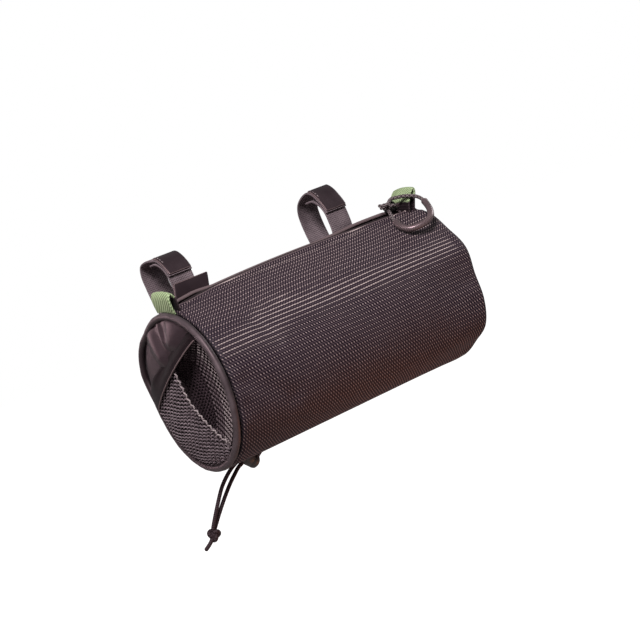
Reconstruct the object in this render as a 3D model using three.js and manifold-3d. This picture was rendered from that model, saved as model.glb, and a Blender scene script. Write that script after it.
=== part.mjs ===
// Barrel handlebar bag: a zipped fabric cylinder that hangs from a handlebar by two straps.
// Millimetres, +Z up. The origin is on the handlebar's axis, midway between the straps.
// +X runs along the bar, -Y is the front of the bag.
import * as THREE from 'three';
import { mergeVertices } from 'three/addons/utils/BufferGeometryUtils.js';
import Module from 'manifold-3d';

const wasm = await Module();
wasm.setup();

// Driving dimensions of the barrel.
const GAP = 0.3;
const BAG_RADIUS = 60;
const BAG_LENGTH = 232.5;
const WALL = 2;
const AXIS_Y = -42;
const AXIS_Z = -76;
const PIPING_RADIUS = 2.6;
const PIPING_INSET = 2.6;
const BODY_HALF = BAG_LENGTH / 2 - 2 * PIPING_RADIUS - GAP;
const PIPING_X = BODY_HALF + GAP + PIPING_RADIUS;

// The zip runs along the top and turns to the front at both ends. The straps pull it up into a ridge.
const ZIP_ANGLE = 91;
const ZIP_END_TURN = 7;
const ZIP_FROM = -101;
const ZIP_TO = 106;
const ZIP_HALF_WIDTH = 3.6;
const ZIP_EASE = 0.45;
const ZIP_THICK = 2.2;
const RIDGE_HEIGHT = 4.4;
const RIDGE_SPREAD = 35;

// How far each end of the barrel is out of round: angle from the front, millimetres at the left and right end.
const END_SHAPE = [
  { angle: 0, left: 0, right: -3 },
  { angle: 20, left: 0, right: 1.5 },
  { angle: 40, left: 0, right: -0.5 },
  { angle: 60, left: -0.5, right: 1.9 },
  { angle: 80, left: -1.3, right: 1.6 },
  { angle: 100, left: -2.4, right: 0.8 },
  { angle: 120, left: -3, right: 0.4 },
  { angle: 140, left: 0.5, right: 0.2 },
  { angle: 160, left: 1.3, right: 0 },
  { angle: 180, left: -4.5, right: 0 },
  { angle: 200, left: -4.5, right: 0.3 },
  { angle: 220, left: -2.5, right: 0.6 },
  { angle: 240, left: -1.1, right: 0.8 },
  { angle: 260, left: -0.2, right: 0.8 },
  { angle: 280, left: 0, right: 0.3 },
  { angle: 300, left: 0.2, right: -1.3 },
  { angle: 320, left: 0.2, right: 1.9 },
  { angle: 340, left: 0, right: 0.1 },
];
const END_REACH = 55;

// Near end: a chord of binding tape with a satin cover above it and a mesh pocket below.
const COVER_BULGE = 7;
const PANEL_DISH = 6;
const PLAIN_CROWN = 3;
const PANEL_THICK = 1.2;
const MESH_THICK = 1;
const TAPE_THICK = 1.2;
const TAPE_WIDTH = 11.5;
const TAPE_FRONT = [-41, 34.6];
const TAPE_BACK = [50, -9.2];
const TAPE_LAYER = 2.1;
const TAPE_BULGE = 9;
const POCKET_LAYER = 2;
const POCKET_BULGE = 7;
const POCKET_HEM = 1.5;
const INNER_LAYER = 3.3;
const RIM_PATH = [[-33.4, -37.9], [-21.4, -21.8], [-12, -6.4], [-8, 8], [-6.5, 15.5]];
const INNER_EDGE = [[-24, -45], [-10, -30], [2, -12], [7, 5]];
// Folds of the satin cover: a line from one point to another, its depth and half width.
const COVER_FOLDS = [
  { from: [2, 54], to: [6, 34], depth: 2.6, half: 3.6 },
  { from: [17, 49], to: [8, 24], depth: 2.4, half: 4.2 },
  { from: [-14, 50], to: [-26, 42], depth: 1.2, half: 4 },
];

// Straps round the bar: one band each, from its inner end over the bar, down the front, along the bag,
// up behind the bar and over again to the patch. Places are seen from the bar's axis.
const STRAP_WIDTH = 20;
const STRAP_THICK = 1.6;
const SEWN_FROM = 117;
const SEWN_TO = 127;
const SEWN_EASE = 1;
const STRAP_FRONT = [[4, 16.8], [-4.5, 16.5], [-11.6, 12.4], [-16.2, 5.6], [-17.4, -2.5], [-17.2, -11]];
const STRAPS = [
  {
    name: 'left', x: -74, shift: [-2.5, -1.5], patchFrom: 0.875,
    over: [[3, -28], [11, -25.4], [17.4, -18.5], [21, -8.5], [22.8, 3.5], [23, 12], [19.2, 18.6], [11, 20.6],
      [1.5, 20.2], [-6.6, 18.8], [-12.2, 14.8], [-16.4, 9.6], [-18.8, 5]],
  },
  {
    name: 'right', x: 74, shift: [0.8, 0.8], patchFrom: 0.86,
    over: [[2, -29.6], [10, -27.6], [16, -19.6], [19, -8.5], [20.2, 2.5], [19.6, 11], [15.8, 17.6], [8.6, 21.8],
      [0, 24], [-5.6, 22.8], [-10.6, 18.8], [-14.2, 13.8], [-17.2, 8.6], [-18.8, 4.4]],
  },
];
const PATCH_THICK = 1;
const STRAP_END = { x: -70, y: -24.3, width: 29.5, top: -3, thick: 1.6, sink: 13 };

// Grab tabs: folded webbing at both ends of the zip.
const TAB_WIDTH = 25;
const TAB_THICK = 1.4;
const TAB_HEIGHT = 14;
const TABS = [
  { name: 'left', x: -109.5, angle: 80, lean: -2 },
  { name: 'right', x: 109.4, angle: 84, lean: 8 },
];
const TAB_LIFT = 2.2;

// Zip slider and its pull.
const SLIDER = { x: 101.5, length: 10, width: 8, height: 3, bail: 5.2, bar: 1.3, lift: 1.8 };
const PULL_RADIUS = 1.4;
const SLEEVE_RADIUS = 2.2;
const PULL_KNOT = [93, -54.6, -6.2];
const PULL_UPPER = [[96.2, -54, -4.4], [100.6, -53.6, -2.4], [105, -56.2, -2.9], [108.4, -60.6, -3.9],
  [111.8, -66, -6], [114.4, -68.8, -8.6], [113.8, -73.4, -11.5]];
const PULL_SLEEVE = [[113.2, -75.2, -12.8], [110.4, -80.8, -16.8], [107.2, -85.6, -20.4],
  [102.4, -89.8, -24.4], [95.4, -90.8, -27], [88.2, -88.2, -27.8], [83.4, -84.4, -27], [81.3, -78.4, -23.1],
  [83, -72.8, -19.6]];
const PULL_LOWER = [[83.9, -70.8, -18.4], [86, -66.6, -15.9], [88.8, -62, -12.5], [91, -58.2, -9.6]];
const PULL_ENDS = [
  [PULL_KNOT, [87.8, -52, -3.6]],
  [PULL_KNOT, [86.8, -54.8, -6]],
  [PULL_KNOT, [97.4, -56.4, -7.2], [100.8, -55.6, -7.7], [101.5, -51.8, -7.5], [101.5, -44, -6.8]],
];

// Elastic cord: leaves its lock behind the bag's underside and ends in a knot.
const CORD_RADIUS = 1.5;
const LOCK = { centre: [-74, -14.5, -141], axis: [0.7, 0, -0.71], radius: 5.2, length: 16 };
const STRAND_LEFT = [[-84.6, -19, -138], [-91.5, -17.6, -141.4], [-97.6, -15.4, -146.4],
  [-102.4, -13, -152], [-107.4, -10.6, -159.8], [-112.6, -8.4, -168.4], [-116.4, -6.6, -175.2]];
const STRAND_RIGHT = [[-81.4, -15, -142.6], [-84.8, -15, -143.4], [-89.4, -14.6, -146.8],
  [-95, -12, -152.6], [-101.6, -9.2, -160.4], [-108.4, -6.6, -169], [-113.2, -5, -175.4]];
const KNOT = [-117.8, -5, -181.6];
const KNOT_LOBES = [
  { at: [0, 0, 0], radius: 4.4 },
  { at: [-2.6, 1, 2.6], radius: 2.9 },
  { at: [-2.2, 0.4, -2], radius: 3 },
];
const KNOT_TAIL = [-128.4, -4, -189.4];
const ANCHOR = { width: 12, thick: 1.6, lift: 1.5, path: [[-42, 0], [-50, 0], [-57, 0.6], [-62.5, 3], [-66.6, 6]] };

const COLOURS = {
  fabric: { color: 0x3a3336, roughness: 0.75, metalness: 0 },
  satin: { color: 0x29262a, roughness: 0.45, metalness: 0 },
  piping: { color: 0x2b272a, roughness: 0.6, metalness: 0 },
  mesh: { color: 0x2f2b2e, roughness: 0.85, metalness: 0 },
  zip: { color: 0x231f21, roughness: 0.4, metalness: 0 },
  slider: { color: 0x1d1b1c, roughness: 0.35, metalness: 0.6 },
  cord: { color: 0x3b3535, roughness: 0.7, metalness: 0 },
  rubber: { color: 0x6d6160, roughness: 0.5, metalness: 0 },
  webbing: { color: 0x454144, roughness: 0.8, metalness: 0 },
  hookTape: { color: 0x2a2526, roughness: 0.35, metalness: 0 },
  green: { color: 0x93b481, roughness: 0.8, metalness: 0 },
  plastic: { color: 0x2e2a2b, roughness: 0.5, metalness: 0 },
};

const vec = (p) => new THREE.Vector3(...p);
const rad = THREE.MathUtils.degToRad;
const mix = THREE.MathUtils.lerp;
const step = (from, to, t) => THREE.MathUtils.smoothstep(t, from, to);

// Closes a mesh: shared corners become one, slivers go, and the faces point out.
function closed(points, index) {
  let geometry = new THREE.BufferGeometry();
  geometry.setAttribute('position', new THREE.Float32BufferAttribute(points, 3));
  geometry.setIndex(index);
  geometry = mergeVertices(geometry, 1e-3);
  const at = geometry.attributes.position;
  const corner = (i) => new THREE.Vector3().fromBufferAttribute(at, i);
  const kept = [];
  let volume = 0;
  const old = geometry.index.array;
  for (let i = 0; i < old.length; i += 3) {
    const [a, b, c] = [old[i], old[i + 1], old[i + 2]];
    if (a === b || b === c || c === a) continue;
    kept.push(a, b, c);
    volume += corner(a).dot(corner(b).cross(corner(c)));
  }
  geometry.setIndex(volume > 0 ? kept : kept.reverse());
  return geometry;
}

// A wall between two surfaces on the same grid. "around" joins the columns into a tube, and "pole" draws
// the first row to a point.
function wall(rows, cols, outer, inner, { around = false, pole = false } = {}) {
  const wide = around ? cols : cols + 1;
  const points = [];
  for (const surface of [outer, inner]) {
    for (let i = 0; i <= rows; i++) {
      for (let j = 0; j < wide; j++) points.push(...surface(i / rows, j / cols).toArray());
    }
  }
  const at = (side, i, j) => (side * (rows + 1) + i) * wide + (j % wide);
  const index = [];
  const quad = (a, b, c, d) => index.push(a, b, c, a, c, d);
  for (let i = 0; i < rows; i++) {
    for (let j = 0; j < cols; j++) {
      quad(at(0, i, j), at(0, i + 1, j), at(0, i + 1, j + 1), at(0, i, j + 1));
      quad(at(1, i, j), at(1, i, j + 1), at(1, i + 1, j + 1), at(1, i + 1, j));
    }
  }
  for (let j = 0; j < cols; j++) {
    if (!pole) quad(at(0, 0, j), at(0, 0, j + 1), at(1, 0, j + 1), at(1, 0, j));
    quad(at(0, rows, j), at(1, rows, j), at(1, rows, j + 1), at(0, rows, j + 1));
  }
  for (let i = 0; i < rows && !around; i++) {
    quad(at(0, i, 0), at(1, i, 0), at(1, i + 1, 0), at(0, i + 1, 0));
    quad(at(0, i, cols), at(0, i + 1, cols), at(1, i + 1, cols), at(1, i, cols));
  }
  return closed(points, index);
}

// A round bead carried along a closed loop.
function ringTube(rows, cols, centre, radius) {
  const points = [];
  for (let i = 0; i < rows; i++) {
    const { point, out } = centre(i / rows);
    for (let j = 0; j < cols; j++) {
      const a = (2 * Math.PI * j) / cols;
      const spot = point.clone().addScaledVector(out, radius * Math.cos(a));
      points.push(spot.x + radius * Math.sin(a), spot.y, spot.z);
    }
  }
  const index = [];
  const at = (i, j) => (i % rows) * cols + (j % cols);
  for (let i = 0; i < rows; i++) {
    for (let j = 0; j < cols; j++) {
      index.push(at(i, j), at(i + 1, j), at(i + 1, j + 1), at(i, j), at(i + 1, j + 1), at(i, j + 1));
    }
  }
  return closed(points, index);
}

// A round cord along a list of points, with flat ends.
function cord(points, radius, sides = 8, steps = 3 * points.length) {
  const section = new THREE.Shape();
  for (let i = 0; i < sides; i++) {
    const a = (2 * Math.PI * i) / sides;
    const [x, y] = [radius * Math.cos(a), radius * Math.sin(a)];
    if (i === 0) section.moveTo(x, y);
    else section.lineTo(x, y);
  }
  const extrudePath = new THREE.CatmullRomCurve3(points.map(vec), false, 'centripetal');
  return new THREE.ExtrudeGeometry(section, { steps, extrudePath, bevelEnabled: false });
}

// A flat band of webbing: a path drawn in a plane, given thickness there and width across it.
// "from" and "to" keep a stretch of the path, and "lift" moves it sideways off the path.
function band(path, width, thickness, { cuts = 30, from = 0, to = 1, lift = 0 } = {}) {
  const curve = new THREE.SplineCurve(path.map((p) => new THREE.Vector2(...p)));
  const sides = [[], []];
  for (let i = 0; i <= cuts; i++) {
    const t = mix(from, to, i / cuts);
    const point = curve.getPointAt(t);
    const tangent = curve.getTangentAt(t);
    const normal = new THREE.Vector2(-tangent.y, tangent.x);
    sides[0].push(point.clone().addScaledVector(normal, lift + thickness / 2));
    sides[1].push(point.clone().addScaledVector(normal, lift - thickness / 2));
  }
  const outline = new THREE.Shape([...sides[0], ...sides[1].reverse()]);
  const geometry = new THREE.ExtrudeGeometry(outline, { depth: width, bevelEnabled: false });
  return geometry.translate(0, 0, -width / 2);
}

// Boolean work on closed meshes.
function solid(geometry) {
  let bare = geometry.clone();
  bare.deleteAttribute('normal');
  bare.deleteAttribute('uv');
  bare = mergeVertices(bare, 1e-4);
  const vertProperties = new Float32Array(bare.attributes.position.array);
  const triVerts = new Uint32Array(bare.index.array);
  return new wasm.Manifold(new wasm.Mesh({ numProp: 3, vertProperties, triVerts }));
}

function surface(body) {
  const { vertProperties, triVerts } = body.getMesh();
  return closed(Array.from(vertProperties), Array.from(triVerts));
}

// Barrel: radius at a place along it and an angle in degrees from the front, with the top at 90.
const bell = (t) => (Math.abs(t) < 1 ? 0.5 + 0.5 * Math.cos(Math.PI * t) : 0);
const zipAngle = (x) => ZIP_ANGLE - ZIP_END_TURN * (x / (BAG_LENGTH / 2 - 10)) ** 4;

// A smooth closed curve through the table of the end's shape.
function endOffset(side, angle) {
  const count = END_SHAPE.length;
  const turn = ((((angle % 360) + 360) % 360) * count) / 360;
  const i = Math.floor(turn);
  const t = turn - i;
  const [a, b, c, d] = [-1, 0, 1, 2].map((k) => END_SHAPE[(i + k + count) % count][side]);
  return b + 0.5 * t * (c - a + t * (2 * a - 5 * b + 4 * c - d + t * (3 * (b - c) + d - a)));
}

function barrelRadius(x, angle) {
  const ridge = RIDGE_HEIGHT * Math.cos((Math.PI * x) / (BAG_LENGTH + 10));
  const side = x < 0 ? 'left' : 'right';
  const share = step(BODY_HALF - END_REACH, BODY_HALF, Math.abs(x));
  return BAG_RADIUS + ridge * bell((angle - zipAngle(x)) / RIDGE_SPREAD) + share * endOffset(side, angle);
}

function onBarrel(x, angle, lift = 0) {
  const r = barrelRadius(x, angle) + lift;
  return new THREE.Vector3(x, -r * Math.cos(rad(angle)), r * Math.sin(rad(angle)));
}

function bodyPanel() {
  const x = (u) => mix(-BODY_HALF, BODY_HALF, u);
  const tube = wall(14, 40, (u, v) => onBarrel(x(u), 360 * v), (u, v) => onBarrel(x(u), 360 * v, -WALL),
    { around: true });
  return surface(solid(tube).subtract(solid(zipStrip(ZIP_HALF_WIDTH, 4 * WALL, -4 * WALL, 0))));
}

// A strip along the zip, between two heights off the barrel, drawn back at its two ends.
function zipStrip(halfWidth, top, bottom, drawBack) {
  const place = (lift) => (u, v) => {
    const x = mix(ZIP_FROM + drawBack, ZIP_TO - drawBack, u);
    const spread = THREE.MathUtils.radToDeg(halfWidth / BAG_RADIUS);
    return onBarrel(x, zipAngle(x) + mix(-spread, spread, v), lift(v));
  };
  const crown = (v) => Math.sin(Math.PI * v);
  const outer = drawBack ? place((v) => top + crown(v)) : place(() => top);
  return wall(20, 3, outer, place(() => bottom));
}

const zipTape = () => zipStrip(ZIP_HALF_WIDTH - ZIP_EASE, 0, -ZIP_THICK, ZIP_EASE);

// The ring that a corded edge follows at one end.
function rim(side, v) {
  const angle = 360 * v;
  const radius = BAG_RADIUS - PIPING_INSET + endOffset(side, angle);
  const out = new THREE.Vector3(0, -Math.cos(rad(angle)), Math.sin(rad(angle)));
  return { radius, out };
}

function piping(side) {
  const x = side === 'left' ? -PIPING_X : PIPING_X;
  return ringTube(40, 8, (v) => {
    const { radius, out } = rim(side, v);
    return { point: new THREE.Vector3(x, 0, 0).addScaledVector(out, radius), out };
  }, PIPING_RADIUS);
}

// Where the near end's fabrics stop, just inside the piping.
const rimReach = (side, v) => rim(side, v).radius - PIPING_RADIUS - 1.5 * GAP;
const roundness = (y, z) => Math.max(0, 1 - (y * y + z * z) / (BAG_RADIUS - 5) ** 2);

// Height of a point above the chord of the binding tape, along the tape's normal.
const tapeRun = new THREE.Vector2(TAPE_BACK[0] - TAPE_FRONT[0], TAPE_BACK[1] - TAPE_FRONT[1]).normalize();
const aboveTape = (y, z) => (y - TAPE_FRONT[0]) * -tapeRun.y + (z - TAPE_FRONT[1]) * tapeRun.x;

function foldDepth(y, z) {
  let depth = 0;
  for (const fold of COVER_FOLDS) {
    const line = new THREE.Line3(vec([...fold.from, 0]), vec([...fold.to, 0]));
    const foot = line.closestPointToPoint(vec([y, z, 0]), true, new THREE.Vector3());
    depth += fold.depth * bell(foot.distanceTo(vec([y, z, 0])) / (2 * fold.half));
  }
  return depth;
}

function coverHeight(y, z) {
  const above = step(-7, 6, aboveTape(y, z));
  const open = Math.sqrt(roundness(y, z));
  return open * (above * (COVER_BULGE - foldDepth(y, z)) - (1 - above) * PANEL_DISH);
}

// A disc of fabric inside a rim, pushed out by a height at each point.
function endPanel(side, rows, height) {
  const sign = side === 'left' ? -1 : 1;
  const place = (lift) => (u, v) => {
    const angle = rad(360 * v);
    const r = u * rimReach(side, v);
    const [y, z] = [-r * Math.cos(angle), r * Math.sin(angle)];
    return new THREE.Vector3(sign * (BODY_HALF + lift + height(y, z)), y, z);
  };
  return wall(rows, 36, place(PANEL_THICK), place(0), { around: true, pole: true });
}

// A point of a hand-drawn edge in the plane of the near end.
function edgeAt(path, t) {
  const curve = new THREE.SplineCurve(path.map((p) => new THREE.Vector2(...p)));
  return curve.getPointAt(t);
}

function rimPoint(angle) {
  const { out } = rim('left', angle / 360);
  return new THREE.Vector2(out.y, out.z).multiplyScalar(rimReach('left', angle / 360) - 3 * GAP);
}

// A sheet between an inner edge and the rim, layered outwards from the end panel.
function pocketSheet(rows, cols, edge, angleFrom, angleTo, layer, height, thick) {
  const place = (lift) => (u, v) => {
    const end = rimPoint(mix(angleFrom, angleTo, u));
    const spot = edge(u).clampLength(0, end.length() - POCKET_HEM).lerp(end, v);
    return new THREE.Vector3(-(BODY_HALF + layer + lift + height(u, v, spot.x, spot.y)), spot.x, spot.y);
  };
  return wall(rows, cols, place(thick), place(0));
}

// Outer mesh: its free rim runs up to the tape, then the sheet follows the tape to its back end.
function pocketMesh() {
  const corner = RIM_PATH[RIM_PATH.length - 1];
  const edge = (u) => {
    if (u < 0.55) return edgeAt(RIM_PATH, u / 0.55);
    const t = (u - 0.55) / 0.45;
    return new THREE.Vector2(mix(corner[0], TAPE_BACK[0], t), mix(corner[1], TAPE_BACK[1] - 2.5, t));
  };
  const height = (u, v, y, z) => POCKET_BULGE * Math.sqrt(roundness(y, z));
  return pocketSheet(18, 6, edge, 311, 190, POCKET_LAYER, height, MESH_THICK);
}

function pocketInnerMesh() {
  const height = (u, v, y, z) => coverHeight(y, z);
  return pocketSheet(14, 6, (u) => edgeAt(INNER_EDGE, u), -62, 38, INNER_LAYER, height, MESH_THICK);
}

function pocketBinding() {
  const place = (lift) => (u, v) => {
    const reach = new THREE.Vector2(mix(TAPE_FRONT[0], TAPE_BACK[0], u), mix(TAPE_FRONT[1], TAPE_BACK[1], u));
    const inset = v * TAPE_WIDTH;
    const spot = reach.add(new THREE.Vector2(-tapeRun.y, tapeRun.x).multiplyScalar(inset));
    spot.clampLength(0, rimReach('left', Math.atan2(spot.y, -spot.x) / (2 * Math.PI)) - POCKET_HEM);
    const height = TAPE_BULGE * Math.sqrt(roundness(spot.x, spot.y));
    return new THREE.Vector3(-(BODY_HALF + TAPE_LAYER + lift + height), spot.x, spot.y);
  };
  return wall(14, 2, place(TAPE_THICK), place(0));
}

// Straps and their patches, drawn in the plane across the bar.
function strapPath(strap) {
  const sewn = [];
  const lift = GAP + STRAP_THICK / 2 + SEWN_EASE;
  for (const angle of [SEWN_FROM, (SEWN_FROM + SEWN_TO) / 2, SEWN_TO]) {
    const spot = onBarrel(strap.x, angle, lift);
    sewn.push([spot.y + AXIS_Y - strap.shift[0], spot.z + AXIS_Z - strap.shift[1]]);
  }
  return [...STRAP_FRONT, ...sewn, ...strap.over];
}

function strapBand(strap) {
  return band(strapPath(strap), STRAP_WIDTH, STRAP_THICK, { cuts: 56 });
}

function strapPatch(strap) {
  const lift = -(STRAP_THICK / 2 + GAP + PATCH_THICK / 2);
  return band(strapPath(strap), STRAP_WIDTH - 1, PATCH_THICK, { cuts: 12, from: strap.patchFrom, to: 0.995, lift });
}

// Turns a plane drawing so that its first axis is Y, its second Z, and its width runs along X.
const acrossBar = new THREE.Matrix4().makeBasis(
  new THREE.Vector3(0, 1, 0), new THREE.Vector3(0, 0, 1), new THREE.Vector3(1, 0, 0));

function tabLoop(tab) {
  const half = 2.2;
  const tip = TAB_HEIGHT;
  const lean = (z) => (tab.lean * z) / tip;
  const path = [[-half, 0], [-half - 0.4 + lean(6), 6], [-half + lean(tip - 3), tip - 3], [lean(tip), tip],
    [half + lean(tip - 3), tip - 3], [half + 0.4 + lean(6), 6], [half, 0]];
  const geometry = band(path, TAB_WIDTH, TAB_THICK, { cuts: 22 });
  geometry.rotateX(Math.PI / 2);
  const base = onBarrel(tab.x, tab.angle);
  const tilt = new THREE.Matrix4().makeRotationX(rad(90 - tab.angle));
  const sag = BAG_RADIUS - Math.sqrt(BAG_RADIUS ** 2 - (TAB_WIDTH / 2) ** 2);
  geometry.translate(0, 0, TAB_LIFT);
  const bent = geometry.attributes.position;
  for (let i = 0; i < bent.count; i++) {
    const y = bent.getY(i);
    bent.setZ(i, bent.getZ(i) - sag * (y / (TAB_WIDTH / 2)) ** 2);
  }
  return geometry.applyMatrix4(tilt).translate(base.x, base.y, base.z);
}

// Slider: a body on the zip with a bail over it for the pull cord.
function zipSlider() {
  const { length, width, height, bail, bar } = SLIDER;
  const half = length / 2;
  const outline = new THREE.Shape();
  outline.moveTo(-half, 0);
  outline.lineTo(half, 0);
  outline.lineTo(half, height - 1);
  outline.lineTo(half - 1.2, height);
  outline.lineTo(half - 1.6, height + bail - 1.6);
  outline.lineTo(half - 3, height + bail);
  outline.lineTo(-half + 3, height + bail);
  outline.lineTo(-half + 1.6, height + bail - 1.6);
  outline.lineTo(-half + 1.2, height);
  outline.lineTo(-half, height - 1);
  const eye = new THREE.Path();
  eye.moveTo(-half + 1.4 + bar, height + 0.2);
  eye.lineTo(half - 1.4 - bar, height + 0.2);
  eye.lineTo(half - 1.8 - bar, height + bail - bar);
  eye.lineTo(-half + 1.8 + bar, height + bail - bar);
  outline.holes.push(eye);
  const geometry = new THREE.ExtrudeGeometry(outline, { depth: width, bevelEnabled: false });
  geometry.translate(0, 0, -width / 2).rotateX(Math.PI / 2);
  const angle = zipAngle(SLIDER.x);
  const base = onBarrel(SLIDER.x, angle, SLIDER.lift);
  geometry.rotateX(rad(90 - angle));
  return geometry.translate(base.x, base.y, base.z);
}

const ball = (at, radius) => new THREE.SphereGeometry(radius, 10, 8).translate(...at);
const join = (pieces) => surface(pieces.map(solid).reduce((a, b) => a.add(b)));

function pullKnot() {
  const ends = PULL_ENDS.map((route) => cord(route, PULL_RADIUS - 0.1, 8, 2 * route.length - 2));
  return join([ball(PULL_KNOT, 2.9), ...ends]);
}

function cordKnot() {
  const lobes = KNOT_LOBES.map(({ at, radius }) => ball(at.map((c, i) => c + KNOT[i]), radius));
  return join([...lobes, cord([KNOT, KNOT_TAIL], CORD_RADIUS - 0.1, 8, 3)]);
}

function cordLock() {
  const { radius, length } = LOCK;
  const half = length / 2;
  const profile = [[0, -half], [radius - 1.2, -half], [radius, -half + 1.2], [radius, half - 2.6],
    [radius - 0.9, half - 0.9], [radius - 2.6, half], [0, half]];
  const geometry = new THREE.LatheGeometry(profile.map((p) => new THREE.Vector2(...p)), 14);
  const turn = new THREE.Quaternion().setFromUnitVectors(vec([0, 1, 0]), vec(LOCK.axis).normalize());
  return geometry.applyQuaternion(turn).translate(...LOCK.centre);
}

// Anchor: a foot sewn along the underside of the barrel and a leaf that stands out to the lock.
function cordAnchor() {
  const { width, thick, lift, path } = ANCHOR;
  const [, y, z] = LOCK.centre;
  const angle = THREE.MathUtils.radToDeg(Math.atan2(z - AXIS_Z, AXIS_Y - y));
  const geometry = band(path, width, thick, { cuts: 12 }).rotateX(Math.PI / 2);
  geometry.translate(0, 0, BAG_RADIUS + lift).rotateX(rad(90 - angle));
  return geometry.translate(0, AXIS_Y, AXIS_Z);
}

function strapEnd() {
  const { width, top, thick, sink } = STRAP_END;
  return new THREE.BoxGeometry(width, thick, sink).translate(STRAP_END.x, STRAP_END.y, top - sink / 2);
}

const part = new THREE.Group();
const bag = new THREE.Group();
bag.position.set(0, AXIS_Y, AXIS_Z);
part.add(bag);

function add(parent, name, geometry, finish) {
  const mesh = new THREE.Mesh(geometry, new THREE.MeshStandardMaterial(COLOURS[finish]));
  mesh.name = name;
  parent.add(mesh);
  return mesh;
}

add(bag, 'body_panel', bodyPanel(), 'fabric');
add(bag, 'zip_tape', zipTape(), 'zip');
add(bag, 'zip_slider', zipSlider(), 'slider');
add(bag, 'piping_left', piping('left'), 'piping');
add(bag, 'piping_right', piping('right'), 'piping');
add(bag, 'end_panel_left', endPanel('left', 7, coverHeight), 'satin');
add(bag, 'end_panel_right', endPanel('right', 3, (y, z) => PLAIN_CROWN * roundness(y, z)), 'satin');
add(bag, 'pocket_inner_mesh', pocketInnerMesh(), 'mesh');
add(bag, 'pocket_mesh', pocketMesh(), 'mesh');
add(bag, 'pocket_binding', pocketBinding(), 'satin');
for (const tab of TABS) add(bag, `tab_${tab.name}`, tabLoop(tab), 'green');

for (const strap of STRAPS) {
  const place = [strap.x, ...strap.shift];
  add(part, `strap_${strap.name}`, strapBand(strap).applyMatrix4(acrossBar), 'webbing').position.set(...place);
  add(part, `strap_patch_${strap.name}`, strapPatch(strap).applyMatrix4(acrossBar), 'hookTape')
    .position.set(...place);
}
add(part, 'strap_end_left', strapEnd(), 'hookTape');

add(part, 'zip_pull_cord_upper', cord(PULL_UPPER, PULL_RADIUS), 'cord');
add(part, 'zip_pull_sleeve', cord(PULL_SLEEVE, SLEEVE_RADIUS, 10), 'rubber');
add(part, 'zip_pull_cord_lower', cord(PULL_LOWER, PULL_RADIUS), 'cord');
add(part, 'zip_pull_knot', pullKnot(), 'cord');

add(part, 'cord_strand_left', cord(STRAND_LEFT, CORD_RADIUS), 'cord');
add(part, 'cord_strand_right', cord(STRAND_RIGHT, CORD_RADIUS), 'cord');
add(part, 'cord_knot', cordKnot(), 'cord');
add(part, 'cord_lock', cordLock(), 'plastic');
add(part, 'cord_anchor', cordAnchor(), 'webbing');

export default part;
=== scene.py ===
# %% [markdown]
# # A barrel bag
# The part already has its true size: a cloth barrel that hangs by two straps. This
# lesson dresses it. Each piece is a surface worked out with numpy from the same sizes as the part, in
# millimetres, and goes into a mesh in metres at the very end.

import bpy
import numpy as np
from mathutils import Matrix


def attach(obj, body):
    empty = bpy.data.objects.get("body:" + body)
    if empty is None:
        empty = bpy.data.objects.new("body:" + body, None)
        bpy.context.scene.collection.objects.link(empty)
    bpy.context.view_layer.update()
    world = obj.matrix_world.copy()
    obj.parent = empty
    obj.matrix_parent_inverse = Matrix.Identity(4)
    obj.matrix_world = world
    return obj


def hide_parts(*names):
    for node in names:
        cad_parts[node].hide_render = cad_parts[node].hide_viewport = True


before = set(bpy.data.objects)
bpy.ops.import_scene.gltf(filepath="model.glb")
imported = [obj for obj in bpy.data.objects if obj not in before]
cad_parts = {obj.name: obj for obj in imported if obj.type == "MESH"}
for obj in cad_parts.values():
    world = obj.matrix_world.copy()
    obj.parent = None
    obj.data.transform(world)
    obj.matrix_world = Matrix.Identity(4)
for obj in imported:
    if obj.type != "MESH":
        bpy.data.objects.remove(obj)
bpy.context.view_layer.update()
MM = 0.001
print("nodes in the part:", len(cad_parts))

# %% [markdown]
# ## The camera
# The view was worked out from the barrel's own outline: where its two ends and its long edges lie in a
# square frame fixes the eye, the direction and the lens. The camera leans over to its right, so a level
# barrel seems to climb. The lens follows from the focal length in pixels on a 36 mm sensor.

# %% Camera
FRAME_PIXELS = 640
FOCAL_PIXELS = 1507
SENSOR = 36
EYE = np.array([-580.4, -986.2, 11.2])
LOOK = np.array([0.52823, 0.84624, -0.06963])
LEAN_UP = np.array([0.34489, -0.12607, 0.93014])


def unit(v):
    """Each vector divided by its own length."""
    return v / np.linalg.norm(v, axis=-1, keepdims=True)


def aim(eye, look, lean_up):
    """A camera matrix: right is look x up, the camera's own up is right x look, and it looks down -Z."""
    right = unit(np.cross(look, lean_up))
    turn = np.eye(4)
    turn[:3] = np.stack([right, np.cross(right, look), -look, eye * MM], axis=1)
    return Matrix(turn.tolist())


camera = bpy.data.objects.new("camera", bpy.data.cameras.new("camera"))
bpy.context.scene.collection.objects.link(camera)
camera.matrix_world = aim(EYE, unit(LOOK), LEAN_UP)
camera.data.sensor_width = SENSOR
camera.data.lens = SENSOR * FOCAL_PIXELS / FRAME_PIXELS
camera.data.clip_end = 100
bpy.context.scene.camera = camera
print("lens, mm:", round(camera.data.lens, 2))

# %% [markdown]
# ## Curves, sweeps and grids
# Nearly everything on a sewn bag is one of two things. A sheet is a grid of points worked out from two
# numbers. A length of something, such as cord or webbing, is a profile carried along a path. Both end up
# as a grid, so one function turns grids into faces and one puts the faces into Blender. First come the
# curves.

# %% Curves
def smooth(low, high, t):
    """0 below low, 1 above high, and 3t^2 - 2t^3 between them."""
    t = np.clip((t - low) / (high - low), 0, 1)
    return t * t * (3 - 2 * t)


def bell(t):
    """A cosine hump: 1 at 0, falling to 0 at -1 and 1."""
    return np.where(np.abs(t) < 1, 0.5 + 0.5 * np.cos(np.pi * np.clip(t, -1, 1)), 0)


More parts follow.
